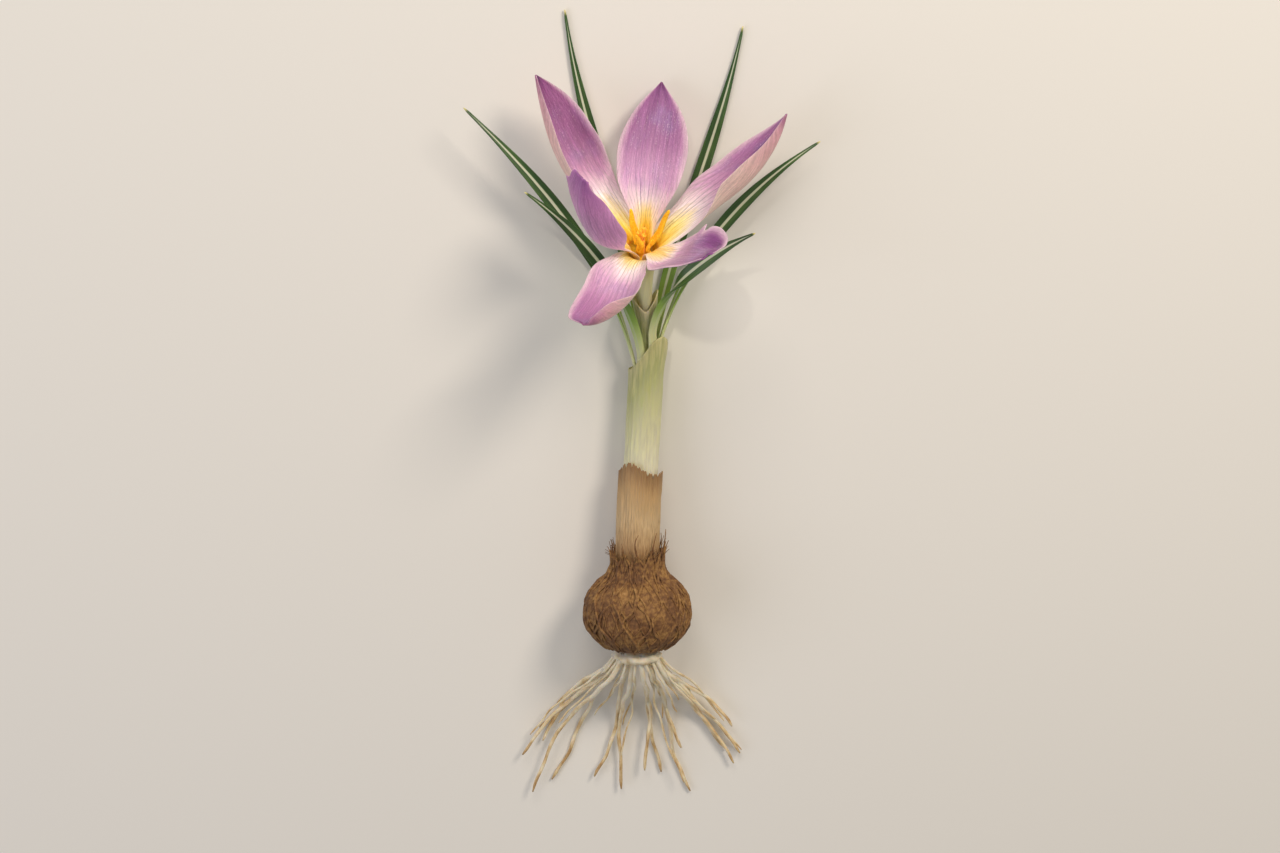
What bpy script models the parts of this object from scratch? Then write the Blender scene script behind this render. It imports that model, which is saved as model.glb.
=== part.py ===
"""A spring crocus, lifted from its pot with its bulb and laid down on its back.

The plant lies along +Y, flower first, with its roots towards -Y and the face of the flower turned up. The
bulb, which a botanist calls a corm, rests on a small flat spot at the origin. +Z is up. Sizes are in
millimetres here and become metres where a mesh is made.
"""

import math
import random

import bmesh
import bpy
from mathutils import Matrix, Vector

MM = 0.001
GAP = 0.3

# Corm: a squat ball in a netted fibrous coat that ends in a ragged neck round the shoot
CORM_RADIUS = 10.3
CORM_BELOW, CORM_ABOVE = 7.6, 8.4
CORM_REST_HEIGHT = 9.75
SHOOT_DIP = math.radians(8.5)
NECK_BORE, NECK_WALL = 4.45, 0.7
NECK_FLOOR, NECK_TOP, NECK_TEETH = 6.0, 11.2, 2.4
NET_RELIEF, NET_MESHES, NET_HEIGHT = 0.6, 12, 9.0
ROOT_PLATE_RADIUS = 4.6
ROOT_COUNT, ROOT_THICKNESS, ROOT_STEPS = 15, 1.0, 12

# Shoot: its centre line from the top of the corm to the throat of the flower
SHOOT = [
    (0.0, 6.2, 8.85),
    (0.2, 18.0, 7.1),
    (1.0, 34.0, 5.2),
    (1.8, 50.0, 4.4),
    (1.5, 59.0, 5.2),
    (0.9, 66.0, 7.0),
]
FLOWER_AXIS = Vector((0.012, 0.825, 0.565)).normalized()
THROAT_REACH = 6.0
MOUTH = 44.0
WALL = 0.6
OUTER_SHEATH_BORE, OUTER_SHEATH_LENGTH = 3.55, 21.0
SHEATH_BORE = 2.65
SHEATH_TONGUE = math.radians(50)
BRACT_START, BRACT_END = 10.0, 55.5

# Flower: a long slender tube that widens into the throat, where six tepals part
TUBE_RADIUS, THROAT_RADIUS = 0.7, 3.35
THROAT_FUNNEL = [(0.0, 1.55), (3.0, 1.1), (6.0, 0.6), (9.0, 0.3)]
ANTHER_LENGTH, ANTHER_WIDTH = 8.0, 1.4
STYLE_LENGTH, STIGMA_LENGTH, STIGMA_PLACES = 5.6, 2.6, (76, 190, 284)

# Whorls: the radius at which a tepal starts
WHORLS = {"outer": 3.05, "inner": 2.2}

# Outlines: the width of a tepal along its length, as shares of both
OUTLINES = {
    "pointed": [
        (0, 0.38), (0.2, 0.55), (0.38, 0.88), (0.52, 1),
        (0.68, 0.9), (0.82, 0.6), (0.93, 0.27), (1, 0.04),
    ],
    "blunt": [
        (0, 0.38), (0.2, 0.55), (0.38, 0.9), (0.55, 1),
        (0.7, 0.98), (0.84, 0.86), (0.94, 0.62), (1, 0.2),
    ],
    "oval": [
        (0, 0.22), (0.12, 0.28), (0.25, 0.52), (0.4, 0.86),
        (0.56, 1), (0.7, 0.9), (0.84, 0.6), (1, 0.05),
    ],
    "lobed": [
        (0, 0.22), (0.12, 0.28), (0.25, 0.5), (0.4, 0.84),
        (0.55, 0.96), (0.7, 0.86), (0.85, 0.62), (1, 0.3),
    ],
    "hooded": [
        (0, 0.22), (0.12, 0.28), (0.25, 0.52), (0.4, 0.84),
        (0.58, 1), (0.75, 0.95), (0.9, 0.7), (1, 0.2),
    ],
}

# Each tepal: its place round the throat and its roll about its midrib, how far its two sides turn up at the
# middle and at the tip, and its lean from the flower's axis at shares of its length, all in degrees. sides
# scales the two half widths. Of each pair, the side at the lower angle comes first.
TEPALS = {
    "outer_tepal_right": dict(
        whorl="outer", outline="pointed", place=25, length=35.6, width=13.8, roll=0, sides=(1.26, 0.76),
        turn_up=(106, 44), tip_turn_up=(101, -15), lean=[(0, 43), (0.25, 66), (0.5, 55), (1, 10)],
    ),
    "outer_tepal_left": dict(
        whorl="outer", outline="pointed", place=139, length=36.7, width=13.7, roll=10, sides=(1.07, 1.2),
        turn_up=(69, 94), tip_turn_up=(8, 98), lean=[(0, 39), (0.25, 61), (0.5, 37), (1, 18)],
    ),
    "outer_tepal_front": dict(
        whorl="outer", outline="blunt", place=249, length=28.9, width=13.0, roll=1, sides=(0.79, 1.26),
        turn_up=(25, 68), tip_turn_up=(1, 95), lean=[(0, 29), (0.25, 75), (0.5, 84), (1, 38)],
    ),
    "inner_tepal_back": dict(
        whorl="inner", outline="oval", place=82, length=30.3, width=14.2, roll=6, sides=(0.95, 0.9),
        turn_up=(17, 3), tip_turn_up=(-3, 2), lean=[(0, 15), (0.25, 24), (0.5, 62), (1, 56)],
    ),
    "inner_tepal_left": dict(
        whorl="inner", outline="lobed", place=215, length=31.5, width=14.9, roll=-12, sides=(1.24, 1),
        turn_up=(83, 49), tip_turn_up=(24, 54), lean=[(0, 20), (0.25, 52), (0.45, 25), (0.75, 8), (1, -23)],
    ),
    "inner_tepal_right": dict(
        whorl="inner", outline="hooded", place=299, length=29.5, width=11.3, roll=-16, sides=(1.05, 1.29),
        turn_up=(24, 16), tip_turn_up=(21, -27), lean=[(0, 16), (0.25, 56), (0.5, 39), (0.8, 44), (1, 44)],
    ),
}

# Each stamen: its place round the throat, its lean from the axis in degrees and its length
STAMENS = [(24, 25, 10.1), (132, 17, 9.0), (250, 16, 8.5)]

# Each leaf: its place round the shoot in degrees, how steeply it spreads, its tip, and the way the tip points
LEAVES = [
    (180, 0.25, (-31.0, 97.0, 9.0), (-0.72, 0.68, -0.1)),
    (240, 0.06, (-13.0, 113.0, 0.6), (-0.12, 1.0, 0.0)),
    (300, 0.06, (19.0, 110.0, 0.6), (0.2, 1.0, 0.0)),
    (0, 0.25, (33.0, 90.0, 5.5), (0.85, 0.52, -0.12)),
    (60, 0.25, (21.0, 76.0, 17.0), (0.72, 0.45, 0.5)),
    (120, 0.25, (-20.0, 83.0, 15.0), (-0.7, 0.6, 0.35)),
]
LEAF_RING, LEAF_THICKNESS = 2.1, 0.6
LEAF_WIDTH_INSIDE, LEAF_WIDTH = 1.7, 2.6


def smooth(x):
    x = min(1.0, max(0.0, x))
    return x * x * (3 - 2 * x)


def read_off(stops, t):
    """The value at t of the smooth curve through stops, which are (place, value) pairs."""
    i = max(0, min(len(stops) - 2, sum(1 for place, _ in stops if place <= t) - 1))
    slopes = []
    for k in (i, i + 1):
        (t0, v0), (t1, v1) = stops[max(0, k - 1)], stops[min(len(stops) - 1, k + 1)]
        slopes.append((v1 - v0) / (t1 - t0))
    (t0, v0), (t1, v1) = stops[i], stops[i + 1]
    span = t1 - t0
    x = (t - t0) / span
    return (
        v0 * (1 + 2 * x) * (1 - x) ** 2
        + slopes[0] * span * x * (1 - x) ** 2
        + v1 * x * x * (3 - 2 * x)
        + slopes[1] * span * x * x * (x - 1)
    )


def evenly_spaced(points, count):
    """count points at equal distances along a chain of points."""
    reached = [0.0]
    for a, b in zip(points, points[1:]):
        reached.append(reached[-1] + (b - a).length)
    spaced, k = [], 0
    for i in range(count):
        target = reached[-1] * i / (count - 1)
        while k < len(points) - 2 and reached[k + 1] < target:
            k += 1
        share = (target - reached[k]) / (reached[k + 1] - reached[k])
        spaced.append(points[k].lerp(points[k + 1], share))
    return spaced


def curve_through(points, count):
    """count evenly spaced points on a smooth curve through the given ones."""
    known = [Vector(p) for p in points]
    known = [2 * known[0] - known[1], *known, 2 * known[-1] - known[-2]]
    dense = []
    for a, b, c, d in zip(known, known[1:], known[2:], known[3:]):
        for i in range(24):
            x = i / 24
            bend = (2 * a - 5 * b + 4 * c - d) * x**2 + (3 * b - a - 3 * c + d) * x**3
            dense.append(0.5 * (2 * b + (c - a) * x + bend))
    dense.append(known[-2])
    return evenly_spaced(dense, count)


def directions(points):
    """The direction of a chain of points at each of them."""
    ends = [points[0], *points, points[-1]]
    return [(c - a).normalized() for a, c in zip(ends, ends[2:])]


def square_to(vector, direction):
    return (vector - vector.dot(direction) * direction).normalized()


class Shoot:
    """The centre line of the shoot. at() gives a place by its distance from the corm's top and its offset."""

    SAMPLES = 400

    def __init__(self):
        throat = Vector(SHOOT[-1]) + THROAT_REACH * FLOWER_AXIS
        self.points = curve_through([*SHOOT, throat], self.SAMPLES)
        self.ways = directions(self.points)
        self.step = (self.points[1] - self.points[0]).length
        self.length = self.step * (self.SAMPLES - 1)

    def frame(self, s):
        """(place, direction, right, up) at distance s."""
        x = min(max(s / self.step, 0.0), self.SAMPLES - 1.001)
        i = int(x)
        place = self.points[i].lerp(self.points[i + 1], x - i)
        way = self.ways[i].lerp(self.ways[i + 1], x - i).normalized()
        up = square_to(Vector((0, 0, 1)), way)
        return place, way, way.cross(up), up

    def at(self, s, angle, radius):
        place, _, right, up = self.frame(s)
        return place + radius * (math.cos(angle) * right + math.sin(angle) * up)


def new_object(name, mesh, material):
    mesh.name = name
    mesh.materials.append(material)
    mesh.shade_smooth()
    mesh.set_sharp_from_angle(angle=math.radians(50))
    obj = bpy.data.objects.new(name, mesh)
    bpy.context.scene.collection.objects.link(obj)
    return obj


def skin(rings, loop=False, mirrored_from=None):
    """A closed mesh over rings of equally many points. A ring's second half, from mirrored_from on, is the
    underside of a blade, and is split into triangles the same way as the top. loop joins the last ring to the
    first, and otherwise a strip of faces closes each end."""
    size = len(rings[0])
    half = size if mirrored_from is None else mirrored_from
    mesh = bmesh.new()
    rows = [[mesh.verts.new(Vector(p) * MM) for p in ring] for ring in rings]
    pairs = list(zip(rows, rows[1:])) + ([(rows[-1], rows[0])] if loop else [])
    for a, b in pairs:
        for i in range(size):
            j = (i + 1) % size
            if i < half:
                mesh.faces.new((a[i], a[j], b[j]))
                mesh.faces.new((a[i], b[j], b[i]))
            else:
                mesh.faces.new((a[i], a[j], b[i]))
                mesh.faces.new((a[j], b[j], b[i]))
    if not loop:
        for row, turned in ((rows[0], True), (rows[-1], False)):
            for i in range(size // 2 - 1):
                corners = [row[i], row[i + 1], row[size - 2 - i], row[size - 1 - i]]
                mesh.faces.new(corners[::-1] if turned else corners)
    bmesh.ops.recalc_face_normals(mesh, faces=mesh.faces)
    made = bpy.data.meshes.new("skin")
    mesh.to_mesh(made)
    mesh.free()
    return made


def linear(code):
    """The linear colour of an sRGB code such as "#b4799f"."""
    parts = (int(code[k : k + 2], 16) / 255 for k in (1, 3, 5))
    return [part / 12.92 if part <= 0.04045 else ((part + 0.055) / 1.055) ** 2.4 for part in parts]


def finish(name, code, roughness):
    material = bpy.data.materials.new(name)
    material.use_nodes = True
    shader = material.node_tree.nodes["Principled BSDF"]
    shader.inputs["Base Color"].default_value = (*linear(code), 1)
    shader.inputs["Roughness"].default_value = roughness
    shader.inputs["Metallic"].default_value = 0.0
    return material


def round_ring(place, right, up, radius, sides):
    angles = (2 * math.pi * i / sides for i in range(sides))
    return [place + radius * (math.cos(a) * right + math.sin(a) * up) for a in angles]


def tube_mesh(points, radii, sides):
    """A solid round tube along points."""
    ways = directions(points)
    up = Vector((0, 0, 1))
    rings = []
    for place, way, radius in zip(points, ways, radii):
        up = square_to(up, way)
        rings.append(round_ring(place, way.cross(up), up, radius, sides))
    return skin(rings)


def join(obj, meshes):
    """Fuse the given meshes into obj."""
    pieces = bpy.data.collections.new("pieces")
    for mesh in meshes:
        pieces.objects.link(bpy.data.objects.new("piece", mesh))
    union = obj.modifiers.new("join pieces", "BOOLEAN")
    union.operation = "UNION"
    union.operand_type = "COLLECTION"
    union.collection = pieces
    union.solver = "EXACT"
    bpy.context.view_layer.update()
    joined = bpy.data.meshes.new_from_object(obj.evaluated_get(bpy.context.evaluated_depsgraph_get()))
    obj.modifiers.clear()
    obj.data = joined
    for piece in list(pieces.objects):
        bpy.data.objects.remove(piece)
    bpy.data.collections.remove(pieces)


def corm_frame():
    """(centre, direction of the shoot, right, up) of the corm as it lies."""
    way = Vector((0, math.cos(SHOOT_DIP), -math.sin(SHOOT_DIP)))
    up = Vector((0, math.sin(SHOOT_DIP), math.cos(SHOOT_DIP)))
    return Vector((0, 0, CORM_REST_HEIGHT)), way, Vector((1, 0, 0)), up


def corm_profile():
    """(height along the shoot, radius, share of the net's relief), from the root plate up into the neck."""
    profile = [(-CORM_BELOW + 0.9, 0.0, 0.0), (-CORM_BELOW + 0.6, 3.3, 0.0)]
    steps = 17
    for i in range(steps + 1):
        angle = math.radians(-60 + 116 * i / steps)
        reach = CORM_ABOVE if angle > 0 else CORM_BELOW
        relief = smooth((angle + math.radians(64)) / 0.35)
        profile.append((reach * math.sin(angle), CORM_RADIUS * math.cos(angle) ** 0.86, relief))
    neck = NECK_BORE + NECK_WALL
    profile += [(8.1, neck + 0.45, 0.7), (9.4, neck + 0.05, 0.4), (NECK_TOP, neck, 0.0)]
    profile += [(NECK_TOP, NECK_BORE, 0.0), (NECK_FLOOR + 0.1, NECK_BORE, 0.0), (NECK_FLOOR, 0.0, 0.0)]
    return profile


def net(turn, height):
    """The raised net of the corm's coat, two crossing families of spirals: 1 on a thread and 0 between."""
    slant = math.pi * height / NET_HEIGHT
    return max(abs(math.cos(NET_MESHES / 2 * turn + sign * slant)) for sign in (1, -1)) ** 6


def tooth(turn):
    """How far the ragged rim of the corm's neck stands above or below its mean height."""
    return NECK_TEETH * (0.5 * math.cos(NET_MESHES * turn) + 0.22 * math.cos(5 * turn + 1) - 0.2)


def make_corm(material):
    """The corm in its netted coat, which is level where it rests on the surface."""
    centre, way, right, up = corm_frame()
    around = NET_MESHES * 5
    rings = []
    for height, radius, share in corm_profile():
        ring = []
        for i in range(around):
            turn = 2 * math.pi * i / around
            raised = radius + share * NET_RELIEF * (net(turn, height) - 0.4)
            tall = height + (tooth(turn) if height == NECK_TOP else 0)
            ring.append(centre + tall * way + raised * (math.cos(turn) * right + math.sin(turn) * up))
        rings.append(ring)
    mesh = bmesh.new()
    first, last = rings[0][0], rings[-1][0]
    rows = [[mesh.verts.new(p * MM) for p in ring] for ring in rings[1:-1]]
    poles = [mesh.verts.new(first * MM), mesh.verts.new(last * MM)]
    for a, b in zip(rows, rows[1:]):
        for i in range(around):
            j = (i + 1) % around
            mesh.faces.new((a[i], a[j], b[j]))
            mesh.faces.new((a[i], b[j], b[i]))
    for i in range(around):
        j = (i + 1) % around
        mesh.faces.new((poles[0], rows[0][j], rows[0][i]))
        mesh.faces.new((poles[1], rows[-1][i], rows[-1][j]))
    for vert in mesh.verts:
        vert.co.z = max(0.0, vert.co.z)
    bmesh.ops.recalc_face_normals(mesh, faces=mesh.faces)
    made = bpy.data.meshes.new("corm")
    mesh.to_mesh(made)
    mesh.free()
    return new_object("corm", made, material)


def root_line(index, rng):
    """The points of one root: out of the plate, down to the surface and away along it in a fan."""
    centre, way, right, up = corm_frame()
    ring = 2 * math.pi * (index + 0.5) / ROOT_COUNT
    spread = ROOT_PLATE_RADIUS * (0.78 if index % 2 else 0.5)
    start = centre - (CORM_BELOW + GAP + 0.5) * way + spread * (math.cos(ring) * right + math.sin(ring) * up)
    length = rng.uniform(24, 38)
    heading = math.radians(-90) + math.cos(ring) * math.radians(38) + rng.uniform(-0.1, 0.1)
    lie = ROOT_THICKNESS / 2 + 0.15 + 0.9 * (index % 3)
    sway, phase = rng.uniform(0.8, 1.8), rng.uniform(0, 6.28)
    points = [start + 0.9 * way]
    for i in range(1, 9):
        t = i / 8
        along = length * t
        fall = smooth(t / 0.62)
        side = sway * math.sin(phase + 5.2 * t) * t
        x = start.x + along * math.cos(heading) - side * math.sin(heading)
        y = start.y + along * math.sin(heading) + side * math.cos(heading)
        z = start.z * (1 - fall) + lie * fall + 0.5 * math.sin(phase + 9 * t) * (1 - t) * t
        points.append(Vector((x, y, z)))
    return evenly_spaced(points, ROOT_STEPS + 1)


def make_roots(material):
    """A small plate under the corm with its roots, in one body."""
    centre, way, right, up = corm_frame()
    top = centre - (CORM_BELOW - 0.6 + GAP) * way
    plate = []
    for depth, share in ((0.0, 0.66), (0.3, 0.72), (1.6, 0.9), (2.1, 0.7)):
        plate.append(round_ring(top - depth * way, right, up, ROOT_PLATE_RADIUS * share, 16))
    roots = new_object("roots", skin(plate), material)
    rng = random.Random(7)
    radii = [ROOT_THICKNESS / 2 * (1 - 0.4 * i / ROOT_STEPS) for i in range(ROOT_STEPS + 1)]
    join(roots, [tube_mesh(root_line(index, rng), radii, 6) for index in range(ROOT_COUNT)])


def sleeve(shoot, start, bore, lip, steps, sides):
    """A hollow sleeve round the shoot. bore(s) is its inside radius, and lip(angle) gives where it ends."""
    angles = [2 * math.pi * i / sides for i in range(sides)]
    rings = []
    for wall, order in ((WALL, range(steps + 1)), (0.0, range(steps, -1, -1))):
        for k in order:
            ring = []
            for angle in angles:
                s = start + (lip(angle) - start) * k / steps
                ring.append(shoot.at(s, angle, bore(s) + wall))
            rings.append(ring)
    return skin(rings, loop=True)


def make_outer_sheath(shoot, material):
    def lip(angle):
        return OUTER_SHEATH_LENGTH + 1.6 * math.cos(angle - math.radians(110)) + 0.7 * math.cos(3 * angle)

    mesh = sleeve(shoot, GAP, lambda s: OUTER_SHEATH_BORE, lip, 6, 18)
    return new_object("outer_sheath", mesh, material)


def sheath_bore(s):
    return SHEATH_BORE + 1.0 * smooth((s - 38) / 12)


def sheath_lip(angle):
    """The distance at which the inner sheath ends. Its mouth is slanted, with a blunt tongue on one side."""
    facing = 0.5 + 0.5 * math.cos(angle - SHEATH_TONGUE)
    return MOUTH - 3.5 + 7.5 * facing**3


def make_inner_sheath(shoot, material):
    return new_object("inner_sheath", sleeve(shoot, GAP, sheath_bore, sheath_lip, 12, 20), material)


def tube_radius(shoot, s):
    """The outside radius of the flower's tube at distance s, which widens like a slender trumpet."""
    widening = max(0.0, (s - MOUTH) / (shoot.length - MOUTH)) ** 2
    return TUBE_RADIUS + (THROAT_RADIUS - TUBE_RADIUS) * widening


def make_bract(shoot, material):
    """The thin green sleeve round the flower's tube, which ends in two blunt lobes."""

    def bore(s):
        return tube_radius(shoot, s) + 0.25 + 0.3 * smooth((s - MOUTH - 2) / 11)

    def lip(angle):
        return BRACT_END - 2.6 + 3.2 * abs(math.cos(angle)) ** 1.5

    return new_object("bract", sleeve(shoot, BRACT_START, bore, lip, 14, 16), material)


def leaf_width(t):
    """The width of a leaf at share t of its free length."""
    widening = LEAF_WIDTH_INSIDE + (LEAF_WIDTH - LEAF_WIDTH_INSIDE) * smooth(t / 0.35)
    return widening * (1 - smooth((t - 0.55) / 0.47) ** 1.2 * 0.82)


def leaf_line(shoot, place, spread, tip, tip_way):
    """The points of a leaf in two lists: up the sheath, and from there in one curve to its tip."""
    angle = math.radians(place)
    leaves_at = sheath_lip(angle) + 0.5
    inside = [shoot.at(1.3 + (leaves_at - 1.3) * i / 7, angle, LEAF_RING) for i in range(8)]
    start = inside[-1]
    place, way, _, _ = shoot.frame(leaves_at)
    end = Vector(tip)
    reach = (end - start).length
    pull_start = start + (way + spread * square_to(start - place, way)) * reach * 0.3
    pull_end = end - Vector(tip_way).normalized() * reach * 0.38
    free = []
    for i in range(1, 61):
        t = i / 60
        pulled = pull_start * 3 * t * (1 - t) ** 2 + pull_end * 3 * t * t * (1 - t)
        free.append(start * (1 - t) ** 3 + pulled + end * t**3)
    return inside, evenly_spaced([start, *free], 17)[1:]


def make_leaf(shoot, number, place, spread, tip, tip_way, material):
    """A narrow blade with a shallow channel along its upper face and a keel below."""
    inside, free = leaf_line(shoot, place, spread, tip, tip_way)
    points = inside + free
    ways = directions(points)
    angle = math.radians(place)
    _, _, right, up = shoot.frame(20)
    facing = -(math.cos(angle) * right + math.sin(angle) * up)
    rings = []
    for i, (point, way) in enumerate(zip(points, ways)):
        t = max(0.0, (i + 1 - len(inside)) / len(free))
        facing = square_to(facing, way)
        skyward = square_to(Vector((0, 0, 1)), way)
        face = square_to(facing.lerp(skyward, 0.75 * smooth(t * 1.6)), way)
        side = way.cross(face)
        half = leaf_width(t) / 2
        thick = LEAF_THICKNESS / 2
        channel = 0.12 * half
        ring = [
            point - side * half + face * (thick + channel),
            point + face * thick * 0.85,
            point + side * half + face * (thick + channel),
            point + side * half - face * (thick - channel),
            point - face * (thick + 0.12 * smooth(t * 3)),
            point - side * half - face * (thick - channel),
        ]
        rings.append(ring)
    return new_object(f"leaf_{number}", skin(rings, mirrored_from=3), material)


def flower_frame(shoot):
    """(throat, right, back): back is square to the flower's axis and points down to the surface."""
    throat = shoot.points[-1]
    right = square_to(Vector((1, 0, 0)), FLOWER_AXIS)
    return throat, right, FLOWER_AXIS.cross(right)


def make_tube(shoot, material):
    """The tube of the flower, solid where it is slender and hollow where it widens into the throat."""
    sides, steps = 14, 14
    turns = [2 * math.pi * i / sides for i in range(sides)]
    stations = [GAP + (shoot.length - GAP) * k / steps for k in range(steps + 1)]
    rings = [[shoot.at(s, turn, tube_radius(shoot, s)) for turn in turns] for s in stations]
    for depth, radius in THROAT_FUNNEL:
        rings.append([shoot.at(shoot.length - depth, turn, radius) for turn in turns])
    return new_object("flower_tube", skin(rings), material)


def tepal_line(start, outward, lean, length, steps):
    """(points, directions) of a tepal's midrib."""
    fine = 12
    point, points, ways = start, [], []
    for i in range(steps * fine + 1):
        angle = math.radians(read_off(lean, i / (steps * fine)))
        way = FLOWER_AXIS * math.cos(angle) + outward * math.sin(angle)
        if i % fine == 0:
            points.append(point)
            ways.append(way)
        point = point + way * length / (steps * fine)
    return points, ways


def half_section(half, claw_curl, turn_up, tip_turn_up, t, steps):
    """(across, up) and the turn at steps + 1 places from the midrib of a tepal to one of its margins."""
    fine = 6
    turned_up = math.radians(turn_up + (tip_turn_up - turn_up) * smooth((t - 0.62) / 0.34))
    across, up, section = 0.0, 0.0, []
    for i in range(steps * fine + 1):
        u = i / (steps * fine)
        as_claw, as_blade = claw_curl * u, turned_up * (1 - (1 - u) ** 1.8)
        turn = as_claw + (as_blade - as_claw) * smooth((t - 0.1) / 0.4)
        if i % fine == 0:
            section.append((across, up, turn))
        across += half * math.cos(turn) / (steps * fine)
        up += half * math.sin(turn) / (steps * fine)
    return section


def make_tepal(
    shoot, name, material, whorl, outline, place, length, width, roll, sides, turn_up, tip_turn_up, lean
):
    """One tepal as a cupped blade. Its claw follows the round of the throat."""
    throat, right, back = flower_frame(shoot)
    angle = math.radians(place)
    outward = math.cos(angle) * right + math.sin(angle) * back
    steps, across = 12, 4
    start = throat + outward * WHORLS[whorl] + FLOWER_AXIS * GAP
    points, ways = tepal_line(start, outward, lean, length, steps)
    rings = []
    for i, (point, way) in enumerate(zip(points, ways)):
        t = i / steps
        rolled = Matrix.Rotation(-math.radians(roll) * smooth(t / 0.5), 3, way)
        side = rolled @ way.cross(outward).normalized()
        inward = way.cross(side)
        half = width * read_off(OUTLINES[outline], t) / 2
        claw_curl = half / (point - throat).dot(outward)
        uneven = smooth((t - 0.25) / 0.3)
        low, high = (
            half_section(half * (1 + (scale - 1) * uneven), claw_curl, middle, tip, t, across)
            for scale, middle, tip in zip(sides, turn_up, tip_turn_up)
        )
        section = [(-a, up, -turn) for a, up, turn in low[:0:-1]] + high
        top, under = [], []
        for a, up, turn in section:
            middle = point + side * a + inward * up
            face = inward * math.cos(turn) - side * math.sin(turn)
            top.append(middle + face * WALL / 2)
            under.append(middle - face * WALL / 2)
        rings.append(top + under[::-1])
    return new_object(name, skin(rings, mirrored_from=2 * across + 1), material)


def make_stamen(shoot, number, place, lean, length, material):
    """A slim filament that carries a long flat anther."""
    throat, right, back = flower_frame(shoot)
    angle = math.radians(place)
    outward = math.cos(angle) * right + math.sin(angle) * back
    way = FLOWER_AXIS * math.cos(math.radians(lean)) + outward * math.sin(math.radians(lean))
    start = throat + outward * 0.95 - FLOWER_AXIS * 0.2
    side = way.cross(outward).normalized()
    depth = side.cross(way)
    bare = length - ANTHER_LENGTH
    half = ANTHER_WIDTH / 2
    stations = [(0, 0.32, 0.32), (bare - 0.6, 0.32, 0.32), (bare, 0.8 * half, 0.45)]
    stations += [(bare + 0.35 * ANTHER_LENGTH, half, 0.5), (bare + 0.8 * ANTHER_LENGTH, 0.8 * half, 0.45)]
    stations += [(length, 0.32, 0.3)]
    rings = []
    for along, wide, deep in stations:
        ring = []
        for i in range(8):
            turn = 2 * math.pi * i / 8
            ring.append(start + way * along + side * wide * math.cos(turn) + depth * deep * math.sin(turn))
        rings.append(ring)
    return new_object(f"stamen_{number}", skin(rings), material)


def make_style(shoot, material):
    """The style with its three stigma branches, in one body."""
    throat, right, back = flower_frame(shoot)
    base = throat - FLOWER_AXIS * 1.6
    fork = throat + FLOWER_AXIS * (STYLE_LENGTH - STIGMA_LENGTH)
    stem = [base.lerp(fork, i / 3) for i in range(4)]
    style = new_object("style", tube_mesh(stem, [0.34, 0.34, 0.36, 0.45], 8), material)
    branches = []
    for place in STIGMA_PLACES:
        angle = math.radians(place)
        outward = math.cos(angle) * right + math.sin(angle) * back
        points = []
        for i in range(5):
            t = i / 4
            points.append(fork + FLOWER_AXIS * (STIGMA_LENGTH * t - 0.25) + outward * (0.1 + 1.1 * t**1.6))
        branches.append(tube_mesh(points, [0.32, 0.34, 0.4, 0.5, 0.6], 6))
    join(style, branches)


def main():
    for obj in list(bpy.data.objects):
        bpy.data.objects.remove(obj)
    shoot = Shoot()
    corm_coat = finish("corm_coat", "#7a5634", 0.85)
    root_white = finish("root_white", "#dccbab", 0.6)
    dry_sheath = finish("dry_sheath", "#b58f66", 0.7)
    pale_sheath = finish("pale_sheath", "#d6d0aa", 0.5)
    bract_green = finish("bract_green", "#b7b98c", 0.5)
    leaf_green = finish("leaf_green", "#33522a", 0.4)
    tube_cream = finish("tube_cream", "#efdf9c", 0.45)
    outer_lilac = finish("outer_lilac", "#c9a0bb", 0.5)
    inner_lilac = finish("inner_lilac", "#b4799f", 0.5)
    pollen_yellow = finish("pollen_yellow", "#f5a01d", 0.8)
    stigma_orange = finish("stigma_orange", "#ee7f14", 0.6)

    make_corm(corm_coat)
    make_roots(root_white)
    make_outer_sheath(shoot, dry_sheath)
    make_inner_sheath(shoot, pale_sheath)
    make_bract(shoot, bract_green)
    for number, leaf in enumerate(LEAVES, start=1):
        make_leaf(shoot, number, *leaf, leaf_green)
    make_tube(shoot, tube_cream)
    for name, shape in TEPALS.items():
        make_tepal(shoot, name, outer_lilac if shape["whorl"] == "outer" else inner_lilac, **shape)
    for number, stamen in enumerate(STAMENS, start=1):
        make_stamen(shoot, number, *stamen, pollen_yellow)
    make_style(shoot, stigma_orange)


main()
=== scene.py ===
# %% [markdown]
# # A spring crocus, lifted with its bulb
#
# The object is one small lilac crocus that was taken out of its pot and laid on its back: a netted bulb
# with its roots, a pale sleeve with six narrow leaves, and one open flower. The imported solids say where
# each part lies and how big it is. This script builds each part again from the same measures, much finer
# and thinner, and gives it its living surface.
#
# Every length of the plant is in millimetres until its mesh is written, because that is how a plant is
# measured. The lamps and the camera are placed in metres.

# %% Open the frame
import math
import random

import bmesh
import bpy
import numpy as np
from mathutils import Matrix, Vector


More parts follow.
